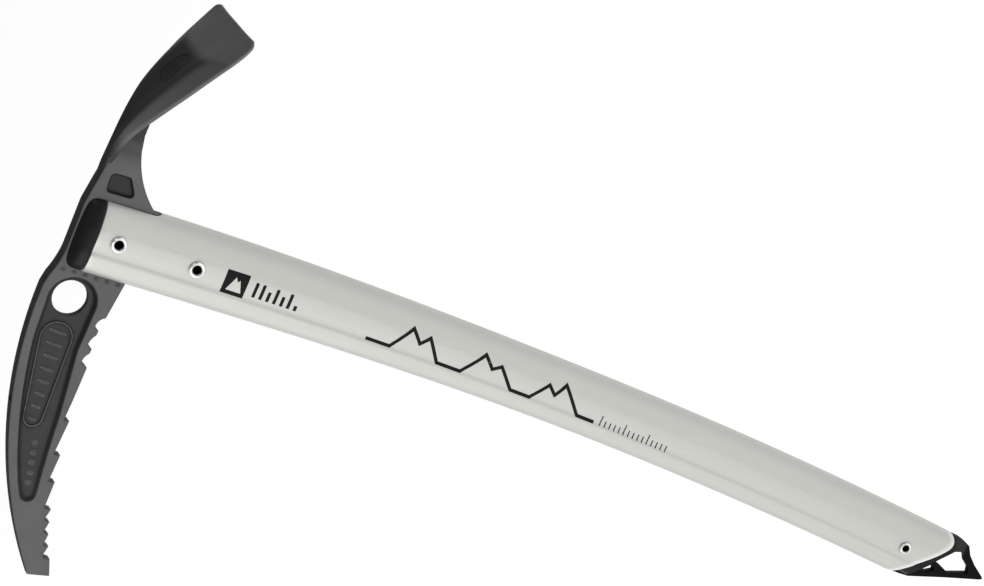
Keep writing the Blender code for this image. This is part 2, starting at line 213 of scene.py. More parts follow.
class Bench:
    """A node tree and the one way of adding a node to it."""

    def __init__(self, tree):
        self.tree = tree

    def node(self, kind, settings=None, values=None, output=0):
        made = self.tree.nodes.new(kind)
        for name, value in (settings or {}).items():
            setattr(made, name, value)
        for name, value in (values or {}).items():
            if isinstance(value, Term):
                self.tree.links.new(value.socket, made.inputs[name])
            else:
                made.inputs[name].default_value = value
        return Term(self, made.outputs[output])


print("a term can:", [name for name in vars(Term) if callable(getattr(Term, name))])

# %% [markdown]
# ## Meshes from millimetre points
# A piece starts as points and faces. Its normals are made to point outwards, its flat
# parts stay crisp because edges sharper than a given angle are marked, and its object
# stays at the origin. Where shapes meet, a Boolean joins or cuts them and is applied.


# %% From points to a piece
def piece(name, points, faces, crease=32.0):
    """A mesh object from millimetre points, facing outwards and smooth up to an angle."""
    mesh = bpy.data.meshes.new(name)
    mesh.from_pydata((np.asarray(points, float) * MM).tolist(), [], faces)
    obj = in_scene(name, mesh)
    face_outwards(mesh)
    soften(obj, crease)
    return obj


def face_outwards(mesh):
    work = bmesh.new()
    work.from_mesh(mesh)
    bmesh.ops.recalc_face_normals(work, faces=work.faces)
    work.to_mesh(mesh)
    work.free()


def soften(obj, crease=32.0):
    """Smooth shading that keeps edges sharper than an angle crisp."""
    obj.data.shade_smooth()
    obj.data.set_sharp_from_angle(angle=math.radians(crease))


def join_shapes(obj, tools, operation):
    """Adds or cuts away helper shapes, applies it and removes them."""
    for tool in tools:
        step = obj.modifiers.new("join", "BOOLEAN")
        step.operation = operation
        step.solver = "MANIFOLD"
        step.object = tool
    settled(obj)
    for tool in tools:
        bpy.data.objects.remove(tool, do_unlink=True)
    soften(obj)
    return obj


def settled(obj):
    """Replaces an object's mesh by its evaluated one and drops the modifiers."""
    bpy.context.view_layer.update()
    made = bpy.data.meshes.new_from_object(
        obj.evaluated_get(bpy.context.evaluated_depsgraph_get())
    )
    obj.modifiers.clear()
    old, obj.data = obj.data, made
    bpy.data.meshes.remove(old)
    made.name = obj.name
    return obj


def loft(rings):
    """Points and faces of closed rings of equal length, capped at both ends."""
    count, last = len(rings[0]), (len(rings) - 1) * len(rings[0])
    faces = [tuple(range(count)), tuple(range(last, last + count))]
    for low in range(0, last, count):
        for i in range(count):
            j = (i + 1) % count
            faces.append((low + i, low + j, low + count + j, low + count + i))
    return [point for ring in rings for point in ring], faces


def store(obj, name, values):
    """Keeps one number per point as an attribute."""
    stored = obj.data.attributes.new(name, "FLOAT", "POINT")
    stored.data.foreach_set("value", np.ascontiguousarray(values, np.float32))


def coordinates(obj):
    """The points of a piece, in millimetres."""
    points = np.empty(len(obj.data.vertices) * 3, np.float32)
    obj.data.vertices.foreach_get("co", points)
    return points.reshape(-1, 3) / MM


def slab(name, outline, low_y, high_y):
    return piece(name, *loft([[(x, y, z) for x, z in outline] for y in (low_y, high_y)]))


def round_line(centre, radius, steps=96):
    turns = np.linspace(0.0, 2 * math.pi, steps, endpoint=False)
    return np.array(centre) + radius * np.array([np.cos(turns), np.sin(turns)]).T


def rod(name, centre, radius, reach=20.0):
    """A round bar along y through an (x, z) centre."""
    return slab(name, round_line(centre, radius, 64), -reach, reach)


# %% [markdown]
# ## Outlines
# The head and the spike are flat forgings, so each starts as an outline in the side view.
# Arcs through three points and rounded corners describe them in few numbers, the same
# ones that the packed solids use, with more steps.


# %% Arcs and rounded corners
def arc(first, middle, last, steps):
    """Points on the circle through three points, both ends included."""
    (ax, az), (bx, bz), (cx, cz) = first, middle, last
    d = 2 * (ax * (bz - cz) + bx * (cz - az) + cx * (az - bz))
    a2, b2, c2 = ax * ax + az * az, bx * bx + bz * bz, cx * cx + cz * cz
    x = (a2 * (bz - cz) + b2 * (cz - az) + c2 * (az - bz)) / d
    z = (a2 * (cx - bx) + b2 * (ax - cx) + c2 * (bx - ax)) / d
    start, half, end = (math.atan2(pz - z, px - x) for px, pz in (first, middle, last))
    turn = 2 * math.pi
    sweep = (end - start) % turn
    if (half - start) % turn > sweep:
        sweep -= turn
    radius = math.hypot(ax - x, az - z)
    angles = [start + sweep * i / steps for i in range(steps + 1)]
    return [(x + radius * math.cos(t), z + radius * math.sin(t)) for t in angles]


def rounded(corners, radius, steps=8):
    """A convex outline with each corner replaced by an arc of this radius."""
    found = []
    corners = [np.array(corner, float) for corner in corners]
    for i, here in enumerate(corners):
        back, ahead = corners[i - 1] - here, corners[(i + 1) % len(corners)] - here
        back, ahead = back / np.hypot(*back), ahead / np.hypot(*ahead)
        half = math.acos(back @ ahead) / 2
        middle = (back + ahead) / np.hypot(*(back + ahead))
        reach = radius / math.tan(half)
        deep = radius / math.sin(half) - radius
        ends = here + back * reach, here + middle * deep, here + ahead * reach
        found += arc(*[tuple(end) for end in ends], steps)
    return found


def tapered_slot(first, first_r, last, last_r, steps=40):
    """The outline round two circles, from the larger near one to the smaller far one."""
    (ax, az), (bx, bz) = first, last
    way = math.atan2(bz - az, bx - ax)
    lean = math.acos((first_r - last_r) / math.hypot(bx - ax, bz - az))
    found = []
    for (x, z), r, start, sweep in (
        (first, first_r, way + lean, 2 * math.pi - 2 * lean),
        (last, last_r, way - lean, 2 * lean),
    ):
        for i in range(steps + 1):
            t = start + sweep * i / steps
            found.append((x + r * math.cos(t), z + r * math.sin(t)))
    return found


# %% [markdown]
# ## A forged plate as a height over its side view
# The head has soft walls round its pocket, a raised oval and rounded rims. Modelled as a
# height over the side view, all of that is one rule: how thick is the plate at this place,
# given its distance to the outline, the pocket and the oval? The points of the mesh follow
# each of those lines in closely spaced rows, a loose grid fills the rest, and a
# constrained Delaunay triangulation joins them. Both sides share the rule.


# %% Distances in the side view
def to_line(points, outline):
    """Distance of each point to a closed outline."""
    best = np.full(len(points), 1e9)
    for a, b in zip(outline, np.roll(outline, -1, 0)):
        way = b - a
        share = np.clip(((points - a) @ way) / max(way @ way, 1e-12), 0.0, 1.0)
        best = np.minimum(best, np.hypot(*(points - a - share[:, None] * way).T))
    return best


def within(points, outline):
    """Whether each point lies inside a closed outline."""
    inside = np.zeros(len(points), bool)
    for (ax, az), (bx, bz) in zip(outline, np.roll(outline, -1, 0)):
        if az == bz:
            continue
        crosses = (points[:, 1] < az) != (points[:, 1] < bz)
        inside ^= crosses & (points[:, 0] < ax + (points[:, 1] - az) * (bx - ax) / (bz - az))
    return inside


def depth_in(points, outline):
    """Distance to the outline, counted positive inside it."""
    return np.where(within(points, outline), 1.0, -1.0) * to_line(points, outline)


def anticlockwise(outline):
    outline = np.array(outline, float)
    x, z = outline.T
    area = (x * np.roll(z, -1) - np.roll(x, -1) * z).sum()
    return outline if area > 0 else outline[::-1]


def walk(outline, pitch):
    """The outline with points added so that none are further apart than the pitch."""
    found = []
    for a, b in zip(outline, np.roll(outline, -1, 0)):
        steps = max(1, math.ceil(np.hypot(*(b - a)) / pitch))
        found += [a + (b - a) * i / steps for i in range(steps)]
    return np.array(found)


def beside(outline, offset, pitch):
    """Points along the inner side of an outline, at an offset and fanned round corners."""
    ring = walk(outline, pitch)
    ahead = np.roll(ring, -1, 0) - ring
    ahead /= np.hypot(*ahead.T)[:, None]
    behind = np.roll(ahead, 1, 0)
    found = []
    for here, one, two in zip(ring, behind, ahead):
        turn = math.atan2(one[0] * two[1] - one[1] * two[0], one @ two)
        steps = max(1, math.ceil(abs(turn) / 0.35))
        shares = [0.5] if steps == 1 else [i / steps for i in range(steps + 1)]
        start = math.atan2(one[1], one[0]) + math.pi / 2
        for share in shares:
            t = start + turn * share
            found.append(here + offset * np.array((math.cos(t), math.sin(t))))
    found = np.array(found)
    return found[to_line(found, outline) > abs(offset) * 0.985]


# %% Triangles over the side view
def along_loops(loops, pitch):
    """Points along closed loops and the edges that join them."""
    fixed, edges = [], []
    for loop in loops:
        ring, start = walk(loop, pitch), len(fixed)
        fixed += list(ring)
        edges += [(start + i, start + (i + 1) % len(ring)) for i in range(len(ring))]
    return fixed, edges


def triangles(points, edges, outline, holes):
    """Points and faces that fill an outline but not its holes."""
    chosen = [Vector(point) for point in points]
    points, _, faces, _, _, _ = delaunay_2d_cdt(chosen, edges, [], 0, 1e-5)
    points = np.array([tuple(point) for point in points])
    middles = np.array([points[list(face)].mean(0) for face in faces])
    keep = within(middles, outline)
    for hole in holes:
        keep &= ~within(middles, hole)
    faces = [face for face, kept in zip(faces, keep) if kept]
    used = sorted({i for face in faces for i in face})
    number = {old: new for new, old in enumerate(used)}
    return points[used], [tuple(number[i] for i in face) for face in faces]


def two_sided(faces, count):
    """The faces of both sides, count points apart, and of the rim that closes them."""
    ends = {(here, face[(i + 1) % len(face)]) for face in faces for i, here in enumerate(face)}
    rim = sorted((a, b) for a, b in ends if (b, a) not in ends)
    closed = faces + [tuple(i + count for i in reversed(face)) for face in faces]
    return closed + [(b, a, a + count, b + count) for a, b in rim]


def thinned(kept, more, gap):
    """The kept points and those of the others that stay a gap away from every one before."""
    kept = [tuple(point) for point in kept]
    cells = {}
    for point in kept:
        cells.setdefault((int(point[0] // gap), int(point[1] // gap)), []).append(point)
    for point in more:
        cx, cz = int(point[0] // gap), int(point[1] // gap)
        near = [p for i in (-1, 0, 1) for j in (-1, 0, 1) for p in cells.get((cx + i, cz + j), ())]
        if all(math.hypot(p[0] - point[0], p[1] - point[1]) >= gap for p in near):
            cells.setdefault((cx, cz), []).append(tuple(point))
            kept.append(tuple(point))
    return kept


# %% From a thickness rule to a closed plate
def forged_plate(name, outline, holes, lines, thickness, pitch, rows=(0.1, 0.25, 0.5, 1.0)):
    """A closed plate; lines are (outline, offsets) pairs whose points the mesh follows."""
    fine, spread = pitch * 0.6, max(pitch, 0.9)
    fixed, edges = along_loops([outline] + holes, fine)
    extra = [beside(outline, row, fine) for row in rows]
    extra += [beside(loop, -row, fine) for loop in holes for row in rows]
    extra += [beside(loop, offset, fine) for loop, offsets in lines for offset in offsets]
    found = thinned(fixed, np.vstack(extra), 0.07)
    low, high = np.min(outline, 0), np.max(outline, 0)
    xs, zs = np.arange(low[0], high[0], spread), np.arange(low[1], high[1], spread)
    grid = np.array([(x + (i % 2) * spread / 2, z) for i, z in enumerate(zs) for x in xs])
    found = np.array(thinned(found, grid, spread * 0.62))
    keep = depth_in(found, outline) > -1e-6
    for loop in holes:
        keep &= depth_in(found, loop) < 1e-6
    keep[: len(fixed)] = True
    points, faces = triangles(found[keep], edges, outline, holes)
    half = thickness(points)
    sides = [(x, side * h, z) for side in (-1, 1) for (x, z), h in zip(points, half)]
    made = piece(name, sides, two_sided(faces, len(points)))
    print(name, len(sides), "points,", len(made.data.polygons), "faces")
    return made


def rim_drop(depth, radius):
    """How much a rounded rim takes off the half thickness at this depth inside it."""
    inside = np.clip(radius - depth, 0.0, radius)
    return radius - np.sqrt(radius**2 - inside**2)


# %% [markdown]
# ## The head
# The plate carries the pick with its teeth, the saddle that sits on the plug, the neck of
# the adze and a tang inside the tube. Its outline runs round all of them. The pocket saves
# weight; its lower wall is broad and its upper wall steep, as a forging die leaves them.


# %% Outline of the plate
TANG_HALF = HEAD_HALF_X - WALL - 3.9
spine = [(96.0, -1.8), (86.0, 2.2), (74.0, 5.4), (62.0, 7.6), (53.0, 9.1), (43.0, SADDLE_Z)]
spine += arc((21.0, SADDLE_Z), (13.5, 11.8), (7.8, 13.6), 10)
spine += arc((2.6, 14.6), (-57.3, 6.7), (TIP_X, -28.3), 60)
tip = [(-125.8, -29.6), (-124.2, -38.4)]
small_teeth = [(-116.5, -35.6), (-116.4, -32.6), (-115.6, -31.9), (-111.0, -32.9)]
small_teeth += [(-110.7, -30.4), (-105.6, -30.8), (-104.9, -28.3), (-100.1, -29.1)]
small_teeth += [(-99.3, -26.4), (-94.4, -27.6), (-94.3, -24.4)]
large_teeth = [(-81.8, -24.5), (-81.9, -21.6), (-69.3, -22.2), (-69.4, -19.2), (-53.2, -20.2)]
large_teeth += [(-53.1, -17.7), (-43.8, -18.2), (-27.7, -18.6), (-26.0, -15.5)]
scallops = arc((-25.7, -15.3), (-23.1, -15.9), (-21.2, -17.3), 12)
scallops += [(-19.0, -17.5), (-17.7, -15.4)]
scallops += arc((-17.4, -15.1), (-14.6, -15.7), (-12.5, -17.1), 12)
scallops += [(-10.3, -17.3), (-9.0, -15.4)]
scallops += arc((-8.7, -15.1), (-5.9, -15.8), (-3.9, -18.2), 12)
tang = [(-TANG_HALF, NECK_LOW_Z), (1.0 - TANG_HALF, TANG_LOW_Z + 8.0)]
tang += [(4.5 - TANG_HALF, TANG_LOW_Z)]
tang += [(-x, z) for x, z in reversed(tang)]
tang = [(SHAFT_X - HEAD_HALF_X - 0.1, NECK_LOW_Z)] + [(SHAFT_X + x, z) for x, z in tang]
neck = arc((SHAFT_X + HEAD_HALF_X + 0.9, NECK_LOW_Z), (58.2, -11.8), (72.0, -5.5), 24)
rib = [(79.0, -4.2), (90.0, -4.4), (104.0, -8.0), (107.0, -7.6), (100.0, -4.0)]
teeth = small_teeth + large_teeth + scallops
HEAD_LINE = anticlockwise(spine + tip + teeth + tang + neck + rib)
HEAD_LINE[:, 1] = np.minimum(HEAD_LINE[:, 1], box_of("head")[1][2])
print("head outline", len(HEAD_LINE), "corners")

# %% Pocket, recess and raised oval
pocket = arc((-3.0, 10.6), (10.6, -1.0), (-1.5, -12.6), 40)
pocket += [(-21.3, -11.9)] + arc((-51.5, -15.3), (-70.0, -16.6), (-88.0, -18.5), 8)
pocket += arc((-90.6, -18.6), (-94.0, -15.2), (-91.4, -10.9), 16)
pocket += arc((-86.0, -8.1), (-55.0, 2.8), (-19.6, 9.9), 24)
POCKET = anticlockwise(pocket)
RECESS = anticlockwise(rounded([(59.6, 3.9), (59.8, -5.6), (50.5, -10.9), (50.4, 3.6)], 2.0))
OVAL_OUT = anticlockwise(tapered_slot((-18.8, -0.5), 7.8, (-56.0, -4.0), 4.9))
OVAL_IN = anticlockwise(tapered_slot((-18.8, -0.5), 6.6, (-56.0, -4.0), 3.7))
HOLE = round_line((0.0, 0.0), HOLE_RADIUS)
RIM = 0.45
RECESS_DEPTH = 1.5
LOWER_WALL, UPPER_WALL = 2.4, 1.2  # widths of the pocket's sloping walls


def plate_half(x):
    """Half the plate's thickness, which tapers from the hole to the pick's tip."""
    lost = (PLATE_HALF - TIP_HALF) * np.minimum(x - TAPER_X, 0.0) / (TAPER_X - TIP_X)
    return PLATE_HALF + lost


def oval_band(points):
    """Depth inside the band between the two lines of the raised oval."""
    return np.minimum(depth_in(points, OVAL_OUT), -depth_in(points, OVAL_IN))


def head_thickness(points):
    """Half the plate's thickness at each (x, z)."""
    full = plate_half(points[:, 0])
    pocket_middle = -0.1 * np.maximum(-points[:, 0], 0.0)
    upper = ease((points[:, 1] - pocket_middle + 3.0) / 8.0)
    wide = LOWER_WALL + (UPPER_WALL - LOWER_WALL) * upper
    sunk = ease(depth_in(points, POCKET) / wide)
    half = full + (POCKET_HALF - full) * sunk
    half = half + (RING_HALF - POCKET_HALF) * ease(oval_band(points) / 0.45)
    half = half - RECESS_DEPTH * ease(depth_in(points, RECESS) / 1.0)
    half = half - rim_drop(to_line(points, HEAD_LINE), RIM)
    return half - rim_drop(to_line(points, HOLE), RIM)


followed = [(POCKET, (-0.25, 0.0, 0.3, 0.7, 1.1, 1.6, 2.1, 2.6))]
followed += [(RECESS, (-0.2, 0.0, 0.25, 0.5, 0.75, 1.0, 1.3))]
followed += [(OVAL_OUT, (-0.15, 0.0, 0.22, 0.45)), (OVAL_IN, (0.15, 0.0, -0.22, -0.45))]
head = forged_plate("forged_head", HEAD_LINE, [HOLE], followed, head_thickness, 1.1)

# %% [markdown]
# ## The adze
# The adze is the broad blade behind the head: a narrow neck that flares into a shallow
# scoop with lowered edges and a flat facet before the cutting edge. Sections across the
# blade, one for each place along it, are lofted; between the stations of the table every
# size follows a smooth curve. A round embossed mark of plain rings sits in the scoop.

# %% Sections of the adze
# Along the blade, top, half width, drop of the edges, scoop, middle and edge thickness.
STATIONS = np.array([
    (52.0, 8.4, 2.6, 0.3, 0.0, 5.6, 4.0),
    (56.0, 8.7, 3.2, 0.4, 0.0, 5.6, 3.4),
    (62.0, 8.7, 3.7, 0.6, 0.1, 5.8, 3.0),
    (68.0, 8.2, 4.5, 1.2, 0.2, 5.6, 2.6),
    (74.0, 7.4, 6.0, 1.9, 0.4, 5.2, 2.4),
    (82.0, 5.7, 10.0, 2.8, 0.8, 4.6, 2.3),
    (90.0, 3.3, 15.4, 3.4, 1.1, 4.2, 2.3),
    (98.0, 0.3, 20.4, 3.6, 1.3, 4.0, 2.3),
    (106.0, -3.6, 24.4, 3.5, 1.3, 3.9, 2.3),
    (116.0, -9.3, 27.9, 3.1, 1.1, 3.7, 2.3),
    (123.0, -14.1, 29.8, 2.5, 0.8, 3.5, 2.2),
    (126.5, -16.7, 30.6, 2.1, 0.4, 3.2, 2.1),
    (132.0, -20.6, 31.3, 1.4, 0.0, 2.4, 1.9),
    (135.4, -22.9, 31.4, 1.0, 0.0, 1.4, 1.4),
    (137.2, -24.0, 29.6, 0.7, 0.0, 1.0, 1.0),
    (138.0, -24.5, 27.4, 0.6, 0.0, 0.9, 0.9),
])
ACROSS = 111
WIDEST = STATIONS[:, 2].max()
ADZE_START, ADZE_END = STATIONS[0, 0], STATIONS[-1, 0]
MARK_X = 111.0
MARK_HEIGHT = 0.3
DOTS, DOT_RING = 8, 3.8


def between_stations(x):
    """The sizes at one place along the blade, on smooth curves through the stations."""
    along = STATIONS[:, 0]
    slopes = np.gradient(STATIONS, along, axis=0)
    i = int(np.clip(np.searchsorted(along, x) - 1, 0, len(along) - 2))
    span = along[i + 1] - along[i]
    t = (x - along[i]) / span
    near = (2 * t**3 - 3 * t**2 + 1) * STATIONS[i] + (t**3 - 2 * t**2 + t) * span * slopes[i]
    far = (3 * t**2 - 2 * t**3) * STATIONS[i + 1] + (t**3 - t**2) * span * slopes[i + 1]
    found = (near + far)[1:]
    found[1] = min(found[1], WIDEST)
    return found


def ring_mark(x, y):
    """Height of the embossed mark: three plain rings and a ring of dots."""
    away = np.hypot(x - MARK_X, y)
    rings = sum(np.exp(-(((away - radius) / 0.45) ** 2)) for radius in (2.4, 5.2, 7.6))
    turn = np.arctan2(y, x - MARK_X) * DOTS / (2 * math.pi)
    beat = (turn - np.round(turn)) * 2 * math.pi * DOT_RING / DOTS
    dots = np.exp(-((beat**2 + (away - DOT_RING) ** 2) / 0.35))
    return MARK_HEIGHT * (rings + dots)


def adze_section(x):
    top, half, drop, scoop, middle, edge = between_stations(x)
    rim = min(0.9, edge * 0.42)
    inset = np.array([0.0, 0.05, 0.18, 0.4, 0.7]) * rim / 0.9
    middle_of_blade = np.linspace(rim - half, half - rim, ACROSS)
    y = np.concatenate([inset - half, middle_of_blade, half - inset[::-1]])
    t = np.abs(y) / half
    upper = top + scoop * np.sin(math.pi * np.minimum(t / 0.62, (1 - t) / 0.38) / 2) ** 2
    upper -= drop * np.maximum((t - 0.45) / 0.55, 0.0) ** 1.6
    lower = upper - (middle + (edge - middle) * t * t)
    fall = rim_drop(half - np.abs(y), rim)
    upper = upper - fall + ring_mark(x, y)
    lower = lower + fall
    ring = [(x, a, b) for a, b in zip(y, upper)]
    return ring + [(x, a, b) for a, b in zip(y[::-1], lower[::-1])]


along_blade = [np.linspace(ADZE_START, 100.0, 44), np.arange(100.4, 122.0, 0.4)]
along_blade += [np.linspace(122.4, ADZE_END - 1.0, 30)]
along_blade += [ADZE_END - np.array([0.7, 0.4, 0.2, 0.08, 0.0])]
along_blade = np.concatenate(along_blade)
blade = piece("adze_blade", *loft([adze_section(x) for x in along_blade]))
print("adze:", len(along_blade), "sections")


# %% Plate and blade made one
def bore_tools(tags):
    """Round bars through the rivets' places, a gap wider than their shanks."""
    tools = []
    for tag in tags:
        centre, shank = RIVETS[tag][0], SPIKE_SHANK if tag == "spike_rivet" else SHANK
        tools.append(rod("bore", (centre[0], centre[2]), shank + GAP))
    return tools


HEAD_RIVETS = ("upper_head_rivet", "lower_head_rivet")
join_shapes(head, [blade], "UNION")
join_shapes(head, bore_tools(HEAD_RIVETS), "DIFFERENCE")
print("head:", len(head.data.vertices), "points,", len(head.data.polygons), "faces")

# %% [markdown]
# ## A piece that wraps on the tube
# The tube follows a rule: its axis bends, its depth tapers, and its section has two flat
# facets on each side and one shallow flute. Geometry Nodes turn that rule into a shape.
# The tree takes a flat chart whose points carry a share across the section, a side, a
# height and an inset, and sets each point in its place. The printed graphics go through
# the same tree, a hair outside the skin, so they lie on it everywhere.


# %% A tree with named inputs
SOCKETS = {"number": "NodeSocketFloat", "object": "NodeSocketObject"}
SOCKETS["material"] = "NodeSocketMaterial"


def new_tree(name, inputs):
    """A Geometry Nodes tree; gives its bench and its named inputs."""
    tree = bpy.data.node_groups.new(name, "GeometryNodeTree")
    tree.interface.new_socket("Geometry", in_out="INPUT", socket_type="NodeSocketGeometry")
    for label, kind in inputs.items():
        tree.interface.new_socket(label, in_out="INPUT", socket_type=SOCKETS[kind])
    tree.interface.new_socket("Geometry", in_out="OUTPUT", socket_type="NodeSocketGeometry")
    bench = Bench(tree)
    entry = tree.nodes.new("NodeGroupInput")
    return bench, {socket.name: Term(bench, socket) for socket in entry.outputs if socket.name}


def close_tree(bench, geometry, material):
    """Ends a tree with real geometry that wears one material."""
    whole = bench.node("GeometryNodeRealizeInstances", {}, {"Geometry": geometry})
    coated = bench.node("GeometryNodeSetMaterial", {}, {"Geometry": whole, "Material": material})
    bench.tree.links.new(coated.socket, bench.tree.nodes.new("NodeGroupOutput").inputs[0])


def grow(obj, bench, values):
    """Runs a tree on an object and keeps what it makes as a plain mesh."""
    step = obj.modifiers.new("grow", "NODES")
    step.node_group = bench.tree
    for item in bench.tree.interface.items_tree:
        if item.in_out == "INPUT" and item.name in values:
            step[item.identifier] = values[item.name]
    return settled(obj)


def carried(bench, name):
    """An attribute that the points carry."""
    return bench.node("GeometryNodeInputNamedAttribute", {"data_type": "FLOAT"}, {"Name": name})


# %% The wrapping tree
SKIN = {
    "Axis at head": SHAFT_X, "Bend square": BEND_2, "Bend cube": BEND_3,
    "Depth at head": HEAD_HALF_X, "Depth at spike": LOW_HALF_X, "Taper end": TAPER_END,
    "Half width": TUBE_HALF_Y, "Wall": WALL, "Nose": 9.0,
    "Adze facet from": 0.24, "Adze facet slope": 0.20,
    "Pick facet from": 0.38, "Pick facet slope": 0.16, "Facet crease": 0.03,
    "Flute at": -0.34, "Flute depth": 0.6, "Flute width": 0.07, "Flute run": 0.26,
}
wrap, given = new_tree("wrap_on_tube", {**{name: "number" for name in SKIN}, "Finish": "material"})
CHARTED = ("share", "side", "height", "inset")
share, side, height, inset = (carried(wrap, name) for name in CHARTED)
down = (height * -1.0).at_least(0.0)
axis = given["Axis at head"] - given["Bend square"] * down**2 - given["Bend cube"] * down**3
taper = (height / given["Taper end"]).ramp(0.0, 1.0)
depth = given["Depth at head"] + (given["Depth at spike"] - given["Depth at head"]) * taper - inset


def past(start):
    """0 before a place on the section and rising evenly after it, with a soft crease."""
    return (start + (start**2 + given["Facet crease"] ** 2) ** 0.5) * 0.5


fall = given["Adze facet slope"] * past(share - given["Adze facet from"])
fall = fall + given["Pick facet slope"] * past(share * -1.0 - given["Pick facet from"])
nose = (1.0 - abs(share) ** given["Nose"]).at_least(0.0) ** 0.4545
beyond = share.maths("GREATER_THAN", given["Flute at"])
wide = given["Flute width"] + (given["Flute run"] - given["Flute width"]) * beyond
flute = (((share - given["Flute at"]) / wide) ** 2.0 * -1.0).maths("EXPONENT")
flute = flute * given["Flute depth"] * (1.0 - inset / given["Wall"])
out = (given["Half width"] - inset - depth * fall) * nose - flute
place = {0: (axis + depth * share) * MM, 1: out * side * MM, 2: height * MM}
place = wrap.node("ShaderNodeCombineXYZ", {}, place)
placed = {"Geometry": given["Geometry"], "Position": place}
close_tree(wrap, wrap.node("GeometryNodeSetPosition", {}, placed), given["Finish"])
print("wrapping tree:", len(wrap.tree.nodes), "nodes")


# %% Charts for the wrapping tree
def chart(name, values, faces, finish):
    """Wraps a chart of (share, side, height, inset) points on the tube."""
    mesh = bpy.data.meshes.new(name)
    mesh.from_pydata([(0.0, 0.0, 0.0)] * len(values), [], faces)
    obj = in_scene(name, mesh)
    for column, label in enumerate(CHARTED):
        store(obj, label, values[:, column])
    grow(obj, wrap, {**SKIN, "Finish": finish})
    for label in CHARTED:
        obj.data.attributes.remove(obj.data.attributes[label])
    face_outwards(obj.data)
    soften(obj)
    return obj


# %% [markdown]
# ## The tube
# The tube is drawn alloy with a wall of a millimetre and a half. Its top is cut square
# under the plug; its lower end is cut in a long rounded slant, so that the spike stands
# clear on the pick's side. The chart runs down the outer skin, round the cut with a small
# rounded rim, up the inner skin and round the top, so the mesh is closed with no
# Boolean on its ends. Only the slots for the plate and the bores for the rivets are cut.

# %% The slanted cut
CUT_LINE = [(-21.1, 33.6), (-10.0, 26.6), (-5.4, 20.4), (-0.3, 13.6), (6.6, 5.1)]
CUT_LINE = np.array(CUT_LINE + arc((7.6, 4.1), (9.4, 2.5), (12.0, 1.7), 16) + [(27.0, 1.7)])
PLUG_CUT = [(-21.1, 27.8), (-9.2, 16.8), (-0.1, 8.4), (5.6, 2.8)]
PLUG_CUT += arc((6.8, 1.6), (8.8, -0.2), (11.4, -1.0), 16) + [(27.0, -1.0)]


def cut_height(share, inset):
    """Where the cut crosses a line down the tube."""
    z = np.full(np.shape(share), CUT_Z)
    for _ in range(16):
        x = shaft_x(z) + (shaft_half(z) - inset) * share - shaft_x(CUT_Z) - END_SHIFT
        z = CUT_Z + np.interp(x, CUT_LINE[:, 0], CUT_LINE[:, 1])
    return z


COLUMNS = 208
EDGE = 0.35


def tube_chart():
    """The tube as a closed chart: outer skin, lower rim, inner skin and upper rim."""
    quarter = np.radians([0.0, 22.5, 45.0, 67.5, 90.0])
    # Each row: share of the way down, lift from that end and inset of the wall.
    rows = [(t, EDGE * (2 * t - 1), 0.0) for t in np.linspace(0.0, 1.0, 150)]
    rows += [(1.0, EDGE * (1 - math.sin(a)), EDGE * (1 - math.cos(a))) for a in quarter[1:]]
    rows += [(1.0, EDGE * (1 - math.cos(a)), WALL - EDGE * (1 - math.sin(a))) for a in quarter]
    rows += [(t, EDGE * (2 * t - 1), WALL) for t in np.linspace(1.0, 0.0, 60)[1:]]
    rows += [(0.0, EDGE * (math.sin(a) - 1), WALL - EDGE * (1 - math.cos(a))) for a in quarter[1:]]
    rows += [(0.0, EDGE * (math.cos(a) - 1), EDGE * (1 - math.sin(a))) for a in quarter[:-1]]
    turns = np.arange(COLUMNS) * 2 * math.pi / COLUMNS
    shares, sides = np.cos(turns), np.sign(np.sin(turns).round(9))
    values, faces = [], []
    for row, (way_down, lift, deep) in enumerate(rows):
        heights = TUBE_TOP + (cut_height(shares, deep) - TUBE_TOP) * way_down + lift
        values += list(zip(shares, sides, heights, np.full(COLUMNS, deep)))
        low, high = row * COLUMNS, (row + 1) % len(rows) * COLUMNS
        for i in range(COLUMNS):
            j = (i + 1) % COLUMNS
            faces.append((low + i, low + j, high + j, high + i))
    return np.array(values), faces


print("columns round the tube:", COLUMNS)

# %% [markdown]
# ## Finishes
# Each finish starts from the real process. The head is forged, then tumbled and
# blackened: its tumbled flats are paler than its hollows, the hollows carry painted shade
# and the adze's facet and outer bands carry painted light. The tube is anodised and
# lacquered, with faint drawing lines along it and a painted highlight along its cut. Plastic
# is moulded in a textured tool. The rivets are turned, so fine rings run round them, and
# their holes carry painted shade. Attributes help: how convex an edge is, where wear shows
# first; how pale a place is, from tumbled flats and painted light; and its painted shade.


# %% Attributes that finishes read
def mark_edges(obj):
    """Stores how convex the surface is at each point, spread a little to its neighbours."""
    count = len(obj.data.vertices)
    points = coordinates(obj)
    normals = np.empty(count * 3, np.float32)
    obj.data.vertex_normals.foreach_get("vector", normals)
    normals = normals.reshape(-1, 3)
    ends = np.empty(len(obj.data.edges) * 2, np.int32)
    obj.data.edges.foreach_get("vertices", ends)
    a, b = ends.reshape(-1, 2).T
    way = points[b] - points[a]
    long = np.maximum(np.linalg.norm(way, axis=1), 1e-6)
    way = way / long[:, None]
    meet = np.maximum(np.bincount(a, minlength=count) + np.bincount(b, minlength=count), 1)
    lean = np.bincount(a, -(normals[a] * way).sum(1), count)
    lean += np.bincount(b, (normals[b] * way).sum(1), count)
    lean = np.clip(lean / meet, 0.0, 1.0)
    for _ in range(2):
        around = np.bincount(a, lean[b], count) + np.bincount(b, lean[a], count)
        lean = np.maximum(lean * 0.6, 0.5 * lean + 0.5 * around / meet)
    store(obj, "edge", np.clip(lean * 3.0, 0.0, 1.0))


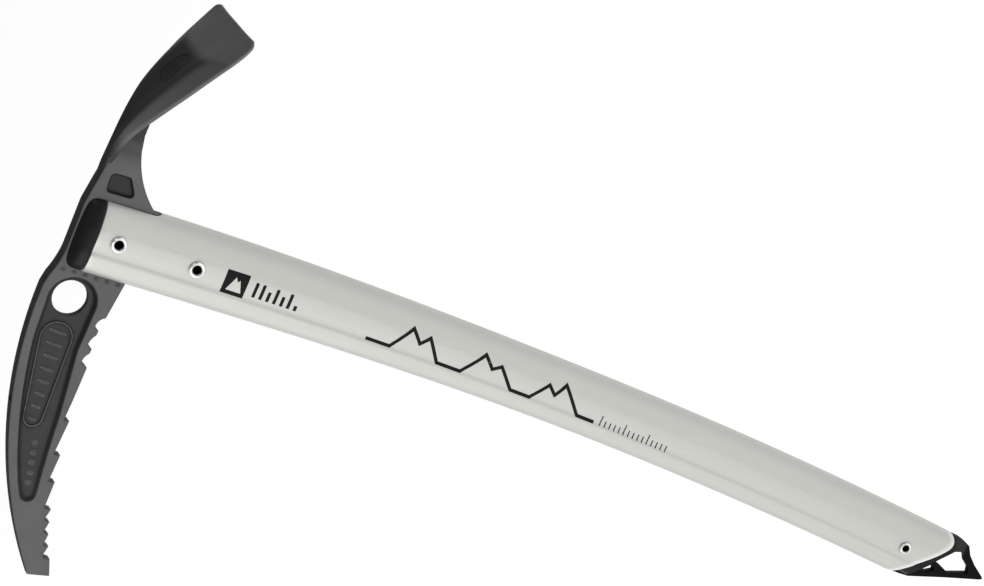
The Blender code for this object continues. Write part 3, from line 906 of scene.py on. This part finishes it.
# %% A new finish
def finish(name, metallic=0.0):
    """An empty material with its shader; gives the material, its bench and the shader."""
    made = bpy.data.materials.new(name)
    made.use_nodes = True
    bench = Bench(made.node_tree)
    shader = made.node_tree.nodes["Principled BSDF"]
    shader.inputs["Metallic"].default_value = metallic
    return made, bench, shader


def where(bench):
    return bench.node("ShaderNodeTexCoord", {}, {}, "Object")


def noise(bench, scale, detail=3.0, rough=0.5, at=None):
    """Noise of about one over scale metres."""
    at = at or where(bench)
    values = {"Vector": at, "Scale": scale, "Detail": detail, "Roughness": rough}
    return bench.node("ShaderNodeTexNoise", {}, values)


def stretched(bench, factors):
    return bench.node("ShaderNodeMapping", {}, {"Vector": where(bench), "Scale": factors})


def blend(bench, factor, one, two, mode="MIX"):
    """One colour turning into another."""
    settings = {"data_type": "RGBA", "blend_type": mode}
    return bench.node("ShaderNodeMix", settings, {0: factor, 6: one, 7: two}, 2)


def shade(bench, factor, colour):
    """A colour made darker or lighter by a factor."""
    grey = bench.node("ShaderNodeCombineColor", {}, {0: factor, 1: factor, 2: factor})
    return blend(bench, 1.0, colour, grey, "MULTIPLY")


def feed(bench, shader, colour, roughness, height, distance):
    """Links a finish's colour, roughness and relief to its shader."""
    relief = bench.node("ShaderNodeBump", {}, {"Height": height, "Distance": distance})
    for name, term in (("Base Color", colour), ("Roughness", roughness), ("Normal", relief)):
        bench.tree.links.new(term.socket, shader.inputs[name])


def wearing(bench, name="edge"):
    return bench.node("ShaderNodeAttribute", {"attribute_name": name}, {}, "Fac")


# %% Forged and blackened steel
def forged_finish():
    made, bench, shader = finish("forged_blackened_steel", 0.35)
    cloud = noise(bench, 90.0, 3.0)
    grain = noise(bench, 1500.0, 4.0, 0.6)
    pits = noise(bench, 420.0, 2.0, 0.5)
    flat = wearing(bench, "flat")
    # Paler where the flat attribute is high: the plate's tumbled flats, and painted light on the
    # adze.
    base = blend(bench, flat, (0.030, 0.030, 0.031, 1.0), (0.160, 0.161, 0.163, 1.0))
    # Painted shade: near black on the pocket's walls, round the oval and in the recess.
    base = blend(bench, wearing(bench, "hollow"), base, (0.006, 0.006, 0.0065, 1.0))
    colour = shade(bench, 0.72 + cloud * 0.3 + grain * 0.26, base)
    rubbed = (wearing(bench) * 1.3 + pits * 0.8 - 0.75).ramp(0.0, 0.5)
    colour = blend(bench, rubbed * 0.35, colour, (0.16, 0.16, 0.16, 1.0))
    roughness = 0.62 - rubbed * 0.15 + grain * 0.12 - cloud * 0.08
    feed(bench, shader, colour, roughness, grain * 0.6 + pits * 0.4, 0.00006)
    return made


def tube_finish():
    made, bench, shader = finish("satin_anodised_alloy", 0.45)
    cloud = noise(bench, 38.0, 2.0)
    lines = noise(bench, 1.0, 4.0, 0.6, stretched(bench, (1900.0, 1900.0, 22.0)))
    grain = noise(bench, 2600.0, 2.0)
    scratch = noise(bench, 1.0, 2.0, 0.5, stretched(bench, (260.0, 260.0, 9.0)))
    thin = (1.0 - abs(scratch - 0.5) * 60.0).at_least(0.0)
    tone = 0.955 + cloud * 0.05 + lines * 0.03 + grain * 0.01
    colour = shade(bench, tone, (0.535, 0.535, 0.505, 1.0))
    colour = blend(bench, thin * 0.08, colour, (0.72, 0.72, 0.70, 1.0))
    # Painted highlight: a near white band along the slanted cut.
    painted_highlight = wearing(bench, "rim")
    colour = blend(bench, painted_highlight, colour, (0.93, 0.93, 0.92, 1.0))
    roughness = 0.40 + lines * 0.06 + grain * 0.03 - thin * 0.04
    feed(bench, shader, colour, roughness, lines * 0.7 + grain * 0.3, 0.00001)
    return made


def plastic_finish():
    made, bench, shader = finish("moulded_black_plastic")
    shader.inputs["Specular IOR Level"].default_value = 0.16
    cells = {"Vector": where(bench), "Scale": 1500.0}
    cells = bench.node("ShaderNodeTexVoronoi", {}, cells, "Distance")
    cloud = noise(bench, 120.0, 3.0)
    grain = noise(bench, 2200.0, 3.0)
    colour = shade(bench, 0.7 + cloud * 0.4 + grain * 0.2, (0.009, 0.009, 0.0095, 1.0))
    worn = (wearing(bench) * 1.2 + cloud * 0.5 - 0.8).ramp(0.0, 0.6)
    colour = blend(bench, worn * 0.4, colour, (0.045, 0.045, 0.047, 1.0))
    roughness = 0.36 + grain * 0.12 + cloud * 0.06
    feed(bench, shader, colour, roughness, cells * 0.7 + grain * 0.3, 0.00004)
    return made


def spike_finish():
    made, bench, shader = finish("black_coated_steel")
    shader.inputs["Specular IOR Level"].default_value = 0.06
    cloud = noise(bench, 200.0, 3.0)
    grain = noise(bench, 1800.0, 4.0, 0.6)
    flat = wearing(bench, "flat")
    base = blend(bench, flat, (0.005, 0.005, 0.0052, 1.0), (0.034, 0.034, 0.035, 1.0))
    colour = shade(bench, 0.7 + cloud * 0.3 + grain * 0.3, base)
    worn = (wearing(bench) * 1.4 + grain * 0.8 - 0.85).ramp(0.0, 0.5)
    colour = blend(bench, worn * 0.3, colour, (0.09, 0.09, 0.09, 1.0))
    roughness = 0.46 + grain * 0.14 - worn * 0.1
    feed(bench, shader, colour, roughness, grain * 0.7 + cloud * 0.3, 0.00005)
    return made


def turned_finish():
    made, bench, shader = finish("turned_bright_steel", 1.0)
    radius = wearing(bench, "radius")
    rings = (radius * 52.0).maths("SINE")
    grain = noise(bench, 3000.0, 2.0)
    cloud = noise(bench, 500.0, 2.0)
    colour = shade(bench, 0.86 + cloud * 0.12 + grain * 0.06, (0.86, 0.86, 0.85, 1.0))
    # Painted shade: darker down the lip into the hole, and near black inside the bore.
    bore = wearing(bench, "bore")
    throat_shade = 1.0 - radius.ramp(BORE, FLANGE - 0.6)
    colour = blend(bench, throat_shade * 0.75, colour, (0.16, 0.16, 0.16, 1.0))
    colour = blend(bench, bore, colour, (0.035, 0.035, 0.037, 1.0))
    roughness = 0.20 + cloud * 0.1 + grain * 0.06 + bore * 0.4
    feed(bench, shader, colour, roughness, rings * 0.5 + grain * 0.5, 0.000012)
    return made


def ink_finish():
    made, bench, shader = finish("screen_print_ink")
    shader.inputs["Specular IOR Level"].default_value = 0.12
    grain = noise(bench, 1600.0, 3.0)
    cloud = noise(bench, 70.0, 2.0)
    colour = shade(bench, 0.7 + grain * 0.4 + cloud * 0.2, (0.006, 0.006, 0.0065, 1.0))
    roughness = 0.42 + grain * 0.14
    feed(bench, shader, colour, roughness, grain * 1.0, 0.00001)
    return made


FORGED, TUBE, PLASTIC = forged_finish(), tube_finish(), plastic_finish()
COATED, TURNED, INK = spike_finish(), turned_finish(), ink_finish()
print("finishes:", [made.name for made in (FORGED, TUBE, PLASTIC, COATED, TURNED, INK)])

# %% The tube made from its chart
def slot_shape(name, low_x, high_x, half, low_z, high_z):
    """A bar along x with a round lower end, as a slot or as what fills its end."""
    turns = [math.pi * i / 24 for i in range(25)]
    outline = [(-half * math.cos(t), low_z + half * (1 - math.sin(t))) for t in turns]
    outline += [(half, high_z), (-half, high_z)]
    return piece(name, *loft([[(x, y, z) for y, z in outline] for x in (low_x, high_x)]))


def coat(obj, material):
    """Marks a piece's worn edges and gives it its one finish."""
    mark_edges(obj)
    obj.data.materials.clear()
    obj.data.materials.append(material)


SLOT_HALF = PLATE_HALF + 0.4
SLOT_LOW_Z = NECK_LOW_Z - SLOT_HALF - 0.6
tube = chart("drawn_tube", *tube_chart(), TUBE)
slots = [slot_shape("slot", *x, SLOT_HALF, SLOT_LOW_Z, 20.0) for x in ((36.0, 56.0), (6.0, 25.0))]
join_shapes(tube, bore_tools(RIVETS) + slots, "DIFFERENCE")


def cut_rim_highlight(points):
    """Painted highlight: 1 at the slanted cut's rounded rim and 0 a little above it."""
    across = (points[:, 0] - shaft_x(points[:, 2])) / shaft_half(points[:, 2])
    above = points[:, 2] - cut_height(np.clip(across, -1.0, 1.0), 0.0)
    return 1.0 - ease(above / 0.9)


store(tube, "rim", cut_rim_highlight(coordinates(tube)))
coat(tube, TUBE)
print("tube:", len(tube.data.vertices), "points")


# %% Flats with painted light and hollows with painted shade on the head
def flats_and_painted_light(points):
    """Painted light on the adze's facet and outer bands, pale tumbled flats on the plate, 0 in
    hollows.
    """
    side_view, y = points[:, [0, 2]], np.abs(points[:, 1])
    thick = plate_half(points[:, 0])
    on_plate = 1.0 - ease((points[:, 0] - 62.0) / 14.0)
    flat = (1.0 - ease((thick - y) / 0.3)) * ease((thick + 0.02 - y) / 0.01)
    # Painted shade: the plate's flats turn darker within 0.7 mm of the outline, on the rounded
    # rims.
    flat *= on_plate * (0.15 + 0.38 * ease(to_line(side_view, HEAD_LINE) / 0.7))
    flat = np.maximum(flat, 0.3 * ease((oval_band(side_view) - 0.25) / 0.2))
    blade_x = np.clip(points[:, 0], ADZE_START, ADZE_END)
    across = y / np.array([between_stations(x)[1] for x in blade_x])
    # Painted light: the facet before the cutting edge and the blade's outer bands, where light
    # falls.
    facet = ease((points[:, 0] - 122.0 + 4.0 * (1.0 - across**2)) / 5.0)
    blade_painted_light = np.maximum(0.7 * ease((across - 0.5) / 0.25), facet)
    return np.maximum(flat, blade_painted_light * ease((points[:, 0] - 66.0) / 14.0))


def painted_hollow_shade(points):
    """Painted shade on the pocket's walls, round its oval and in the recess, and darker round the
    mark.
    """
    side_view, y = points[:, [0, 2]], np.abs(points[:, 1])
    pocket_in, recess_in = depth_in(side_view, POCKET), depth_in(side_view, RECESS)
    band = oval_band(side_view)
    walls = ease((pocket_in + 0.1) / 0.3) * (1.0 - ease((pocket_in - 1.6) / 1.1)) * 0.92
    round_oval = ease((band + 0.5) / 0.3) * (1.0 - ease((band - 0.05) / 0.25)) * 0.6
    recess = 0.35 + 0.6 * (1.0 - ease((recess_in - 0.4) / 0.6))
    hollow = np.maximum(walls, round_oval)
    hollow = np.maximum(hollow, ease((recess_in + 0.1) / 0.2) * recess)
    outside = ease(-pocket_in / 0.1) * ease(-recess_in / 0.1)
    hollow *= 1.0 - ease((y - plate_half(points[:, 0]) + 0.02) / 0.01) * outside
    away = np.hypot(points[:, 0] - MARK_X, y)
    low = 1.0 - ring_mark(points[:, 0], points[:, 1]) / MARK_HEIGHT
    return np.maximum(hollow, 0.7 * np.clip(ease((8.6 - away) / 0.6) * low, 0.0, 1.0))


store(head, "flat", flats_and_painted_light(coordinates(head)))
store(head, "hollow", painted_hollow_shade(coordinates(head)))
coat(head, FORGED)
print("finished:", [obj.name for obj in (tube, head)])

# %% [markdown]
# ## Plugs
# Each end of the tube is closed by two moulded halves, one on each side of the steel. The
# head plugs swell into a smooth dome above the tube and fill the slots beside the tang.
# They are lofted through sections of the tube's own rule, then split along the plate.


# %% Sections of the tube for solid shapes
def section(z, inset=0.0, around=180):
    """The tube's section without its flute, as (x, y) at height z."""
    turn = np.arange(around) * 2 * math.pi / around
    share = np.cos(turn)
    depth, width = shaft_half(z) - inset, TUBE_HALF_Y - inset

    def past(start):
        return (start + np.sqrt(start**2 + SKIN["Facet crease"] ** 2)) / 2

    fall = SKIN["Adze facet slope"] * past(share - SKIN["Adze facet from"])
    fall = fall + SKIN["Pick facet slope"] * past(-share - SKIN["Pick facet from"])
    nose = np.maximum(1 - np.abs(share) ** SKIN["Nose"], 0.0) ** 0.4545
    y = (width - depth * fall) * nose * np.sign(np.sin(turn).round(9))
    return shaft_x(z) + depth * share, y


def ring_at(z, inset=0.0, wide=1.0, deep=1.0, level=None):
    x, y = section(z, inset)
    x = shaft_x(z) + (x - shaft_x(z)) * wide
    level = z if level is None else level
    return [(a, b, level) for a, b in zip(x, y * deep)]


# %% Head plugs
PLUG_LOW_Z = -56.0
PLUG_DOME = 9.2


def head_plug(side, name):
    stem = [ring_at(z, WALL + GAP) for z in (PLUG_LOW_Z, -40.0, -20.0, TUBE_TOP)]
    stem.append(ring_at(TUBE_TOP, WALL + GAP, level=TUBE_TOP + GAP))
    foot = TUBE_TOP + GAP
    cap = [ring_at(TUBE_TOP, 0.5, level=foot), ring_at(TUBE_TOP, 0.15, level=foot + 0.1)]
    for turn in np.radians(np.linspace(4.0, 78.0, 30)):
        t = math.sin(turn)
        wide, level = (1 - t**5) ** 0.2, foot + PLUG_DOME * t
        cap.append(ring_at(TUBE_TOP, 0.0, wide, math.cos(turn), level))
    plug = piece(name, *loft(stem + cap))
    inner = side * (PLATE_HALF + GAP)
    split = [(0.0, -70.0), (62.0, -70.0), (62.0, 20.0), (0.0, 20.0)]
    split = slab("split", split, *sorted((inner, -side * 20.0)))
    join_shapes(plug, [split], "DIFFERENCE")
    low, high = SLOT_LOW_Z + GAP, NECK_LOW_Z - GAP
    near = SHAFT_X - side * (TANG_HALF + GAP)
    span = sorted((near, SHAFT_X - side * (HEAD_HALF_X - 0.5)))
    fill = slot_shape("fill", *span, SLOT_HALF - GAP, low, high)
    x0, x1 = sorted((near - side * 0.15, near - side * 0.8))
    root = [(x0, high - 2.7), (x1, high - 2.7), (x1, high - 0.4), (x0, high - 0.4)]
    root = slab("root", root, *sorted((side * 3.0, inner + side * 0.12)))
    join_shapes(plug, [fill, root], "UNION")
    return join_shapes(plug, bore_tools(HEAD_RIVETS), "DIFFERENCE")


plugs = {"head_plug_left": head_plug(-1, "domed_plug_left")}
plugs["head_plug_right"] = head_plug(1, "domed_plug_right")
print("head plugs:", [len(plug.data.polygons) for plug in plugs.values()], "faces")

# %% Spike plugs
SPIKE_HALF = 2.0
SPIKE_PLUG_RISE = 48.6


def spike_plug(side, name):
    rings = [ring_at(CUT_Z + z, WALL + GAP) for z in np.linspace(SPIKE_PLUG_RISE, -13.0, 24)]
    plug = piece(name, *loft(rings))
    below = slab("below", from_end(PLUG_CUT + [(27.0, -54.0), (-21.1, -54.0)]), -20.0, 20.0)
    split = from_end([(-40.0, -40.0), (40.0, -40.0), (40.0, 60.0), (-40.0, 60.0)])
    split = slab("split", split, *sorted((side * (SPIKE_HALF + GAP), -side * 20.0)))
    return join_shapes(plug, [below, split] + bore_tools(["spike_rivet"]), "DIFFERENCE")


plugs["spike_plug_left"] = spike_plug(-1, "slant_plug_left")
plugs["spike_plug_right"] = spike_plug(1, "slant_plug_right")
for plug in plugs.values():
    coat(plug, PLASTIC)
print("plugs:", [plug.name for plug in plugs.values()])

# %% [markdown]
# ## The spike
# The spike is cut from flat steel: a tang inside the tube, a block at the adze's side, a
# long bar at the pick's side and a strut between them, with two openings. It is a plate
# of even thickness, so the same rule of outline, holes and rounded rims makes it.

# %% The spike
tang = [(-1.6, 44.6), (14.9, 44.6), (12.7, 21.6), (10.3, 1.9)]
block = [(10.3, 1.3), (14.2, 1.3), (13.8, -2.6), (12.6, -6.2), (11.0, -9.4)]
web = [(6.9, -11.8), (2.9, -16.0), (-1.4, -21.8), (-2.4, -SPIKE_REACH), (-3.1, -21.2)]
bar = [(-6.8, -3.8), (-11.1, 14.3), (-11.0, 20.0), (-10.5, 24.6), (-8.7, 22.0), (-7.3, 24.0)]
main = [(-0.8, 3.9), (6.4, -3.6), (7.2, -6.7), (6.0, -8.6), (3.5, -10.0), (0.9, -13.3)]
main += [(-1.7, -13.9), (-4.3, -4.6), (-1.7, 0.8)]
small = [(-6.6, 9.8), (-3.0, 5.6), (-3.6, 3.6), (-4.9, 3.3), (-6.3, 6.0)]
SPIKE_LINE = anticlockwise(from_end(tang + block + web + bar))
openings = [anticlockwise(from_end(main)), anticlockwise(from_end(small))]
openings.append(round_line(RIVETS["spike_rivet"][0][[0, 2]], SPIKE_SHANK + GAP))


def spike_thickness(points):
    half = SPIKE_HALF - rim_drop(to_line(points, SPIKE_LINE), 0.5)
    for opening in openings:
        half = half - rim_drop(to_line(points, opening), 0.4)
    return half


spike_rows = (0.08, 0.2, 0.5, 0.8)
spike = forged_plate("flat_spike", SPIKE_LINE, openings, [], spike_thickness, 0.9, spike_rows)
x, _, z = (coordinates(spike) - np.array([shaft_x(CUT_Z) + END_SHIFT, 0.0, CUT_Z])).T
store(spike, "flat", ease((x - 5.0) / 2.0) * ease((z + 8.6) / 1.6))
coat(spike, COATED)
print("spike:", len(openings), "openings")

# %% [markdown]
# ## Repeated small parts
# Three rivets, their washers, the raised lozenges in the oval and the rows of dots are
# each one shape set down many times. The shape is made once. Geometry Nodes put a copy on
# every point of a carrier, with the size and the turn that the point carries.

# %% The setting tree
setting, given = new_tree("set_small_parts", {"Part": "object", "Finish": "material"})
source = setting.node("GeometryNodeObjectInfo", {}, {"Object": given["Part"]}, "Geometry")
size = {i: carried(setting, label) for i, label in enumerate(("size_x", "size_y", "size_z"))}
spots = {"Points": given["Geometry"], "Instance": source}
spots["Scale"] = setting.node("ShaderNodeCombineXYZ", {}, size)
spots["Rotation"] = setting.node("ShaderNodeCombineXYZ", {}, {1: carried(setting, "turn")})
close_tree(setting, setting.node("GeometryNodeInstanceOnPoints", {}, spots), given["Finish"])


def set_parts(name, part, spots, material):
    """Sets a part on (x, y, z, size x, size y, size z, turn) spots as one piece."""
    spots = np.array(spots, float)
    mesh = bpy.data.meshes.new(name)
    mesh.from_pydata((spots[:, :3] * MM).tolist(), [], [])
    obj = in_scene(name, mesh)
    for column, label in enumerate(("size_x", "size_y", "size_z", "turn")):
        store(obj, label, spots[:, 3 + column])
    grow(obj, setting, {"Part": part, "Finish": material})
    soften(obj, 40.0)
    bpy.data.objects.remove(part, do_unlink=True)
    print(name, len(spots), "copies,", len(obj.data.polygons), "faces")
    return obj


# %% Rivets and washers
FACE = TUBE_HALF_Y + GAP
WASHER = 0.6
BACK_FACE = FACE + WASHER + GAP
BACK_FLANGE = FLANGE - 0.4
LIP_FOOT, LIP_RISE, BACK_LIP_RISE = 0.1, 0.8, 0.7


def lathe(name, profile, steps=96):
    """A closed (radius, y) profile turned round the y axis."""
    count = len(profile)
    points, faces = [], []
    for i in range(steps):
        t, after = 2 * math.pi * i / steps, (i + 1) % steps
        points += [(r * math.cos(t), y, r * math.sin(t)) for r, y in profile]
        for j in range(count):
            k = (j + 1) % count
            faces.append((i * count + j, i * count + k, after * count + k, after * count + j))
    made = piece(name, points, faces, 40.0)
    radius = np.array([math.hypot(x, z) for x, _, z in points])
    store(made, "radius", radius)
    # The bore's inside, which the turned finish paints near black as painted shade.
    store(made, "bore", radius < BORE + 0.05)
    return made


def lip(outer, root, rise, steps):
    """A rolled lip from the bore to its outer edge, as (radius, y)."""
    turns = np.linspace(0.0, math.pi, steps)
    radii = (outer + BORE) / 2 - (outer - BORE) / 2 * np.cos(turns)
    return list(zip(radii, root + rise * np.sin(turns)))


def washer_profile():
    inner, outer, corner = SHANK + GAP, FLANGE + 0.5, 0.15
    low, high = FACE + 0.02, FACE + WASHER
    ring = [(inner, low), (outer, low), (outer, high - corner), (outer - corner, high)]
    return ring + [(inner, high)]


rivet_profile = lip(FLANGE, -FACE - LIP_FOOT, -LIP_RISE, 22)
rivet_profile += [(FLANGE, -FACE), (SHANK, -FACE), (SHANK, BACK_FACE), (BACK_FLANGE, BACK_FACE)]
rivet_profile += lip(BACK_FLANGE, BACK_FACE + LIP_FOOT, BACK_LIP_RISE, 18)[::-1]
rivet_spots = [(c[0], 0.0, c[2], r / FLANGE, 1.0, r / FLANGE, 0.0) for c, r in RIVETS.values()]
turned_rivet = lathe("turned_rivet", rivet_profile)
turned_washer = lathe("turned_washer", washer_profile())
rivets = set_parts("tubular_rivets", turned_rivet, rivet_spots, TURNED)
washers = set_parts("rivet_washers", turned_washer, rivet_spots, TURNED)


# %% Raised lozenges and dots
def bud():
    """A ball of one millimetre's radius, which each spot stretches to its own size."""
    ball = bmesh.new()
    bmesh.ops.create_uvsphere(ball, u_segments=14, v_segments=8, radius=1.0)
    mesh = bpy.data.meshes.new("bud")
    bmesh.ops.scale(ball, vec=(MM, MM, MM), verts=ball.verts)
    ball.to_mesh(mesh)
    ball.free()
    return in_scene("bud", mesh)


def bud_spots():
    """Lozenges inside the oval, dots below it and a row of dots beside the tube."""
    spots = []
    for side in (-1, 1):
        floor_y, flat_y = side * POCKET_HALF, side * PLATE_HALF
        for t in np.arange(8) / 7:
            size = (1.0, 0.62, 4.3 - 2.0 * t)
            spots.append((-16.0 - 41.0 * t, floor_y, -0.4 - 3.7 * t, *size, 0.09))
        for i in range(5):
            spots.append((-67.0 - 4.6 * i, floor_y, -9.2 - i, 1.3, 0.5, 1.9, 0.2))
        for i in range(6):
            spots.append((12.0, flat_y, 8.4 - 5.2 * i, 1.2, 0.28, 1.2, 0.0))
    return spots


marks = set_parts("raised_marks", bud(), bud_spots(), FORGED)
mark_edges(marks)
store(marks, "flat", np.full(len(marks.data.vertices), 0.2))

# %% [markdown]
# ## Printed graphics
# The shaft carries a dark screen print on its left side. Here it is a plain design with no
# letters: a square badge with a mountain peak, a row of bars, a long ridge line drawn with
# an even stroke, and a short ruler. Each shape is a closed slip a twentieth of a
# millimetre thick, cut fine enough to follow the tube, and wrapped by the same tree.


# %% Slips of print
PRINT_LIFT = 0.05


def printed(name, shapes, pitch=1.2):
    """Wraps (x, z) outlines on the left of the tube; a shape is an outline and its holes."""
    values, faces = [], []
    for outline, *holes in shapes:
        outline, holes = anticlockwise(outline), [anticlockwise(hole) for hole in holes]
        fixed, edges = along_loops([outline] + holes, pitch)
        xs, zs = (np.arange(*ends, pitch) for ends in zip(outline.min(0), outline.max(0)))
        grid = np.array([(x, z) for x in xs for z in zs])
        grid = grid[depth_in(grid, outline) > pitch * 0.4]
        for hole in holes:
            grid = grid[depth_in(grid, hole) < -pitch * 0.4]
        points, cells = triangles(fixed + list(grid), edges, outline, holes)
        across = (points[:, 0] - shaft_x(points[:, 1])) / shaft_half(points[:, 1])
        first = len(values)
        for lift in (-PRINT_LIFT, PRINT_LIFT):
            values += [(share_of, -1.0, z, lift) for share_of, z in zip(across, points[:, 1])]
        faces += [tuple(i + first for i in face) for face in two_sided(cells, len(points))]
    return chart(name, np.array(values), faces, INK)


def stroke(points, wide):
    """The outline of a line of even width through points, with mitred corners."""
    points = np.array(points, float)
    way = np.diff(points, axis=0)
    way /= np.hypot(*way.T)[:, None]
    left, right = [], []
    for i, here in enumerate(points):
        one, two = way[max(i - 1, 0)], way[min(i, len(way) - 1)]
        across = np.array((-one[1] - two[1], one[0] + two[0]))
        across /= np.hypot(*across)
        reach = wide / 2 / max(across @ np.array((-two[1], two[0])), 0.35)
        left.append(here + across * reach)
        right.append(here - across * reach)
    return left + right[::-1]


# %% Badge, bars, ridge line and ruler
PRINT_START = -60.3
BAR_LENGTHS = (7.0, 7.0, 4.6, 7.0, 4.6, 7.0, 2.4)


def shape(points):
    """Points on the tube from (down from the print's start, across from the axis)."""
    heights = [PRINT_START - along for along, _ in points]
    return [(float(shaft_x(z)) + across, z) for z, (_, across) in zip(heights, points)]


def bar(at, foot, long, wide):
    return shape([(at, foot), (at, foot + long), (at + wide, foot + long), (at + wide, foot)])


badge = bar(0.0, -6.0, 11.0, 11.0)
peak = shape([(2.0, -4.2), (5.0, 2.6), (6.3, 0.4), (7.2, 1.6), (9.4, -4.2)])
bars = [[bar(14.6 + 3.4 * i, -4.0, long, 1.5)] for i, long in enumerate(BAR_LENGTHS)]
badge_print = printed("badge_print", [[badge, peak]] + bars)
ridge = [(72.0, -5.0), (84.0, -5.0), (92.0, 6.2), (97.0, 0.6), (101.0, 4.6), (108.0, -5.0)]
ridge += [(120.0, -5.0), (129.0, 6.2), (134.0, 1.0), (138.0, 3.6), (146.0, -5.0), (156.0, -5.0)]
ridge += [(163.0, 3.6), (167.0, 0.0), (171.0, 6.2), (181.0, -5.0), (190.0, -5.0)]
ridge_print = printed("ridge_print", [[shape(stroke(ridge, 1.6))]])
ticks = [[bar(193.0 + 2.5 * i, -5.6, 3.0 if i % 5 else 5.0, 0.55)] for i in range(15)]
ruler_print = printed("ruler_print", ticks)
print("prints:", [len(obj.data.polygons) for obj in (badge_print, ridge_print, ruler_print)])

# %% [markdown]
# ## Floor and light
# A studio shot of a dark and a silvery part needs a pale floor all round, one large soft
# light from the front, and little light from above, so that the upward faces of the head
# read darker than its flanks. The floor lies well below the axe and glows a little, as a
# lit sweep does, so it keeps the picture bright and lifts the undersides.

# %% The studio
FLOOR_Z = -0.62


def studio_floor():
    mesh = bpy.data.meshes.new("studio_floor")
    reach = 14.0
    corners = [(-reach, -reach), (reach, -reach), (reach, reach), (-reach, reach)]
    mesh.from_pydata([(x, y, FLOOR_Z) for x, y in corners], [], [(0, 1, 2, 3)])
    made, _, shader = finish("pale_floor")
    shader.inputs["Base Color"].default_value = (0.8, 0.8, 0.8, 1.0)
    shader.inputs["Roughness"].default_value = 0.9
    shader.inputs["Emission Color"].default_value = (1.0, 1.0, 1.0, 1.0)
    shader.inputs["Emission Strength"].default_value = 0.75
    mesh.materials.append(made)
    return in_scene("studio_floor", mesh)


def soft_light(name, place, aim, size, power):
    light = bpy.data.lights.new(name, "AREA")
    light.shape = "RECTANGLE"
    light.size, light.size_y = size
    light.energy = power
    turned = (Vector(aim) - Vector(place)).to_track_quat("-Z", "Y").to_matrix().to_4x4()
    in_scene(name, light).matrix_world = Matrix.Translation(Vector(place)) @ turned


floor = studio_floor()
soft_light("front_light", (-1.8, -2.2, 0.5), (0.0, 0.0, -0.2), (1.5, 1.5), 41.0)
soft_light("adze_light", (1.6, -0.9, 1.3), (0.0, 0.0, -0.1), (0.9, 0.9), 8.0)
world = bpy.data.worlds.new("studio")
world.use_nodes = True
sky = world.node_tree.nodes["Background"]
seen = Bench(world.node_tree).node("ShaderNodeLightPath", {}, {}, "Is Camera Ray")
world.node_tree.links.new((seen * 0.72 + 0.22).socket, sky.inputs["Strength"])
sky.inputs["Color"].default_value = (1.0, 1.0, 1.0, 1.0)
bpy.context.scene.world = world
bpy.context.scene.view_settings.view_transform = "Standard"
print("floor at", FLOOR_Z)

# %% [markdown]
# ## Handing over to the frame
# Every piece rides on the axe's one body, and the packed solids that it stands for are hidden.

# %% Ride on the body and hide the packed solids
PIECES = (
    (head, "forged_steel", ("head",)),
    (tube, "shaft_finish", ("shaft_tube",)),
    (spike, "black_steel", ("spike",)),
    (rivets, "bright_steel", ("upper_head_rivet", "lower_head_rivet", "spike_rivet")),
    (washers, "bright_steel", tuple(f"{tag}_washer" for tag in RIVETS)),
    (marks, "forged_steel", ()),
    (badge_print, "shaft_finish", ()),
    (ridge_print, "shaft_finish", ()),
    (ruler_print, "shaft_finish", ()),
)
PIECES += tuple((plug, "black_plastic", (node,)) for node, plug in plugs.items())
for obj, slot, nodes in PIECES:
    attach(obj, "root")
    if nodes:
        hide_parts(*nodes)
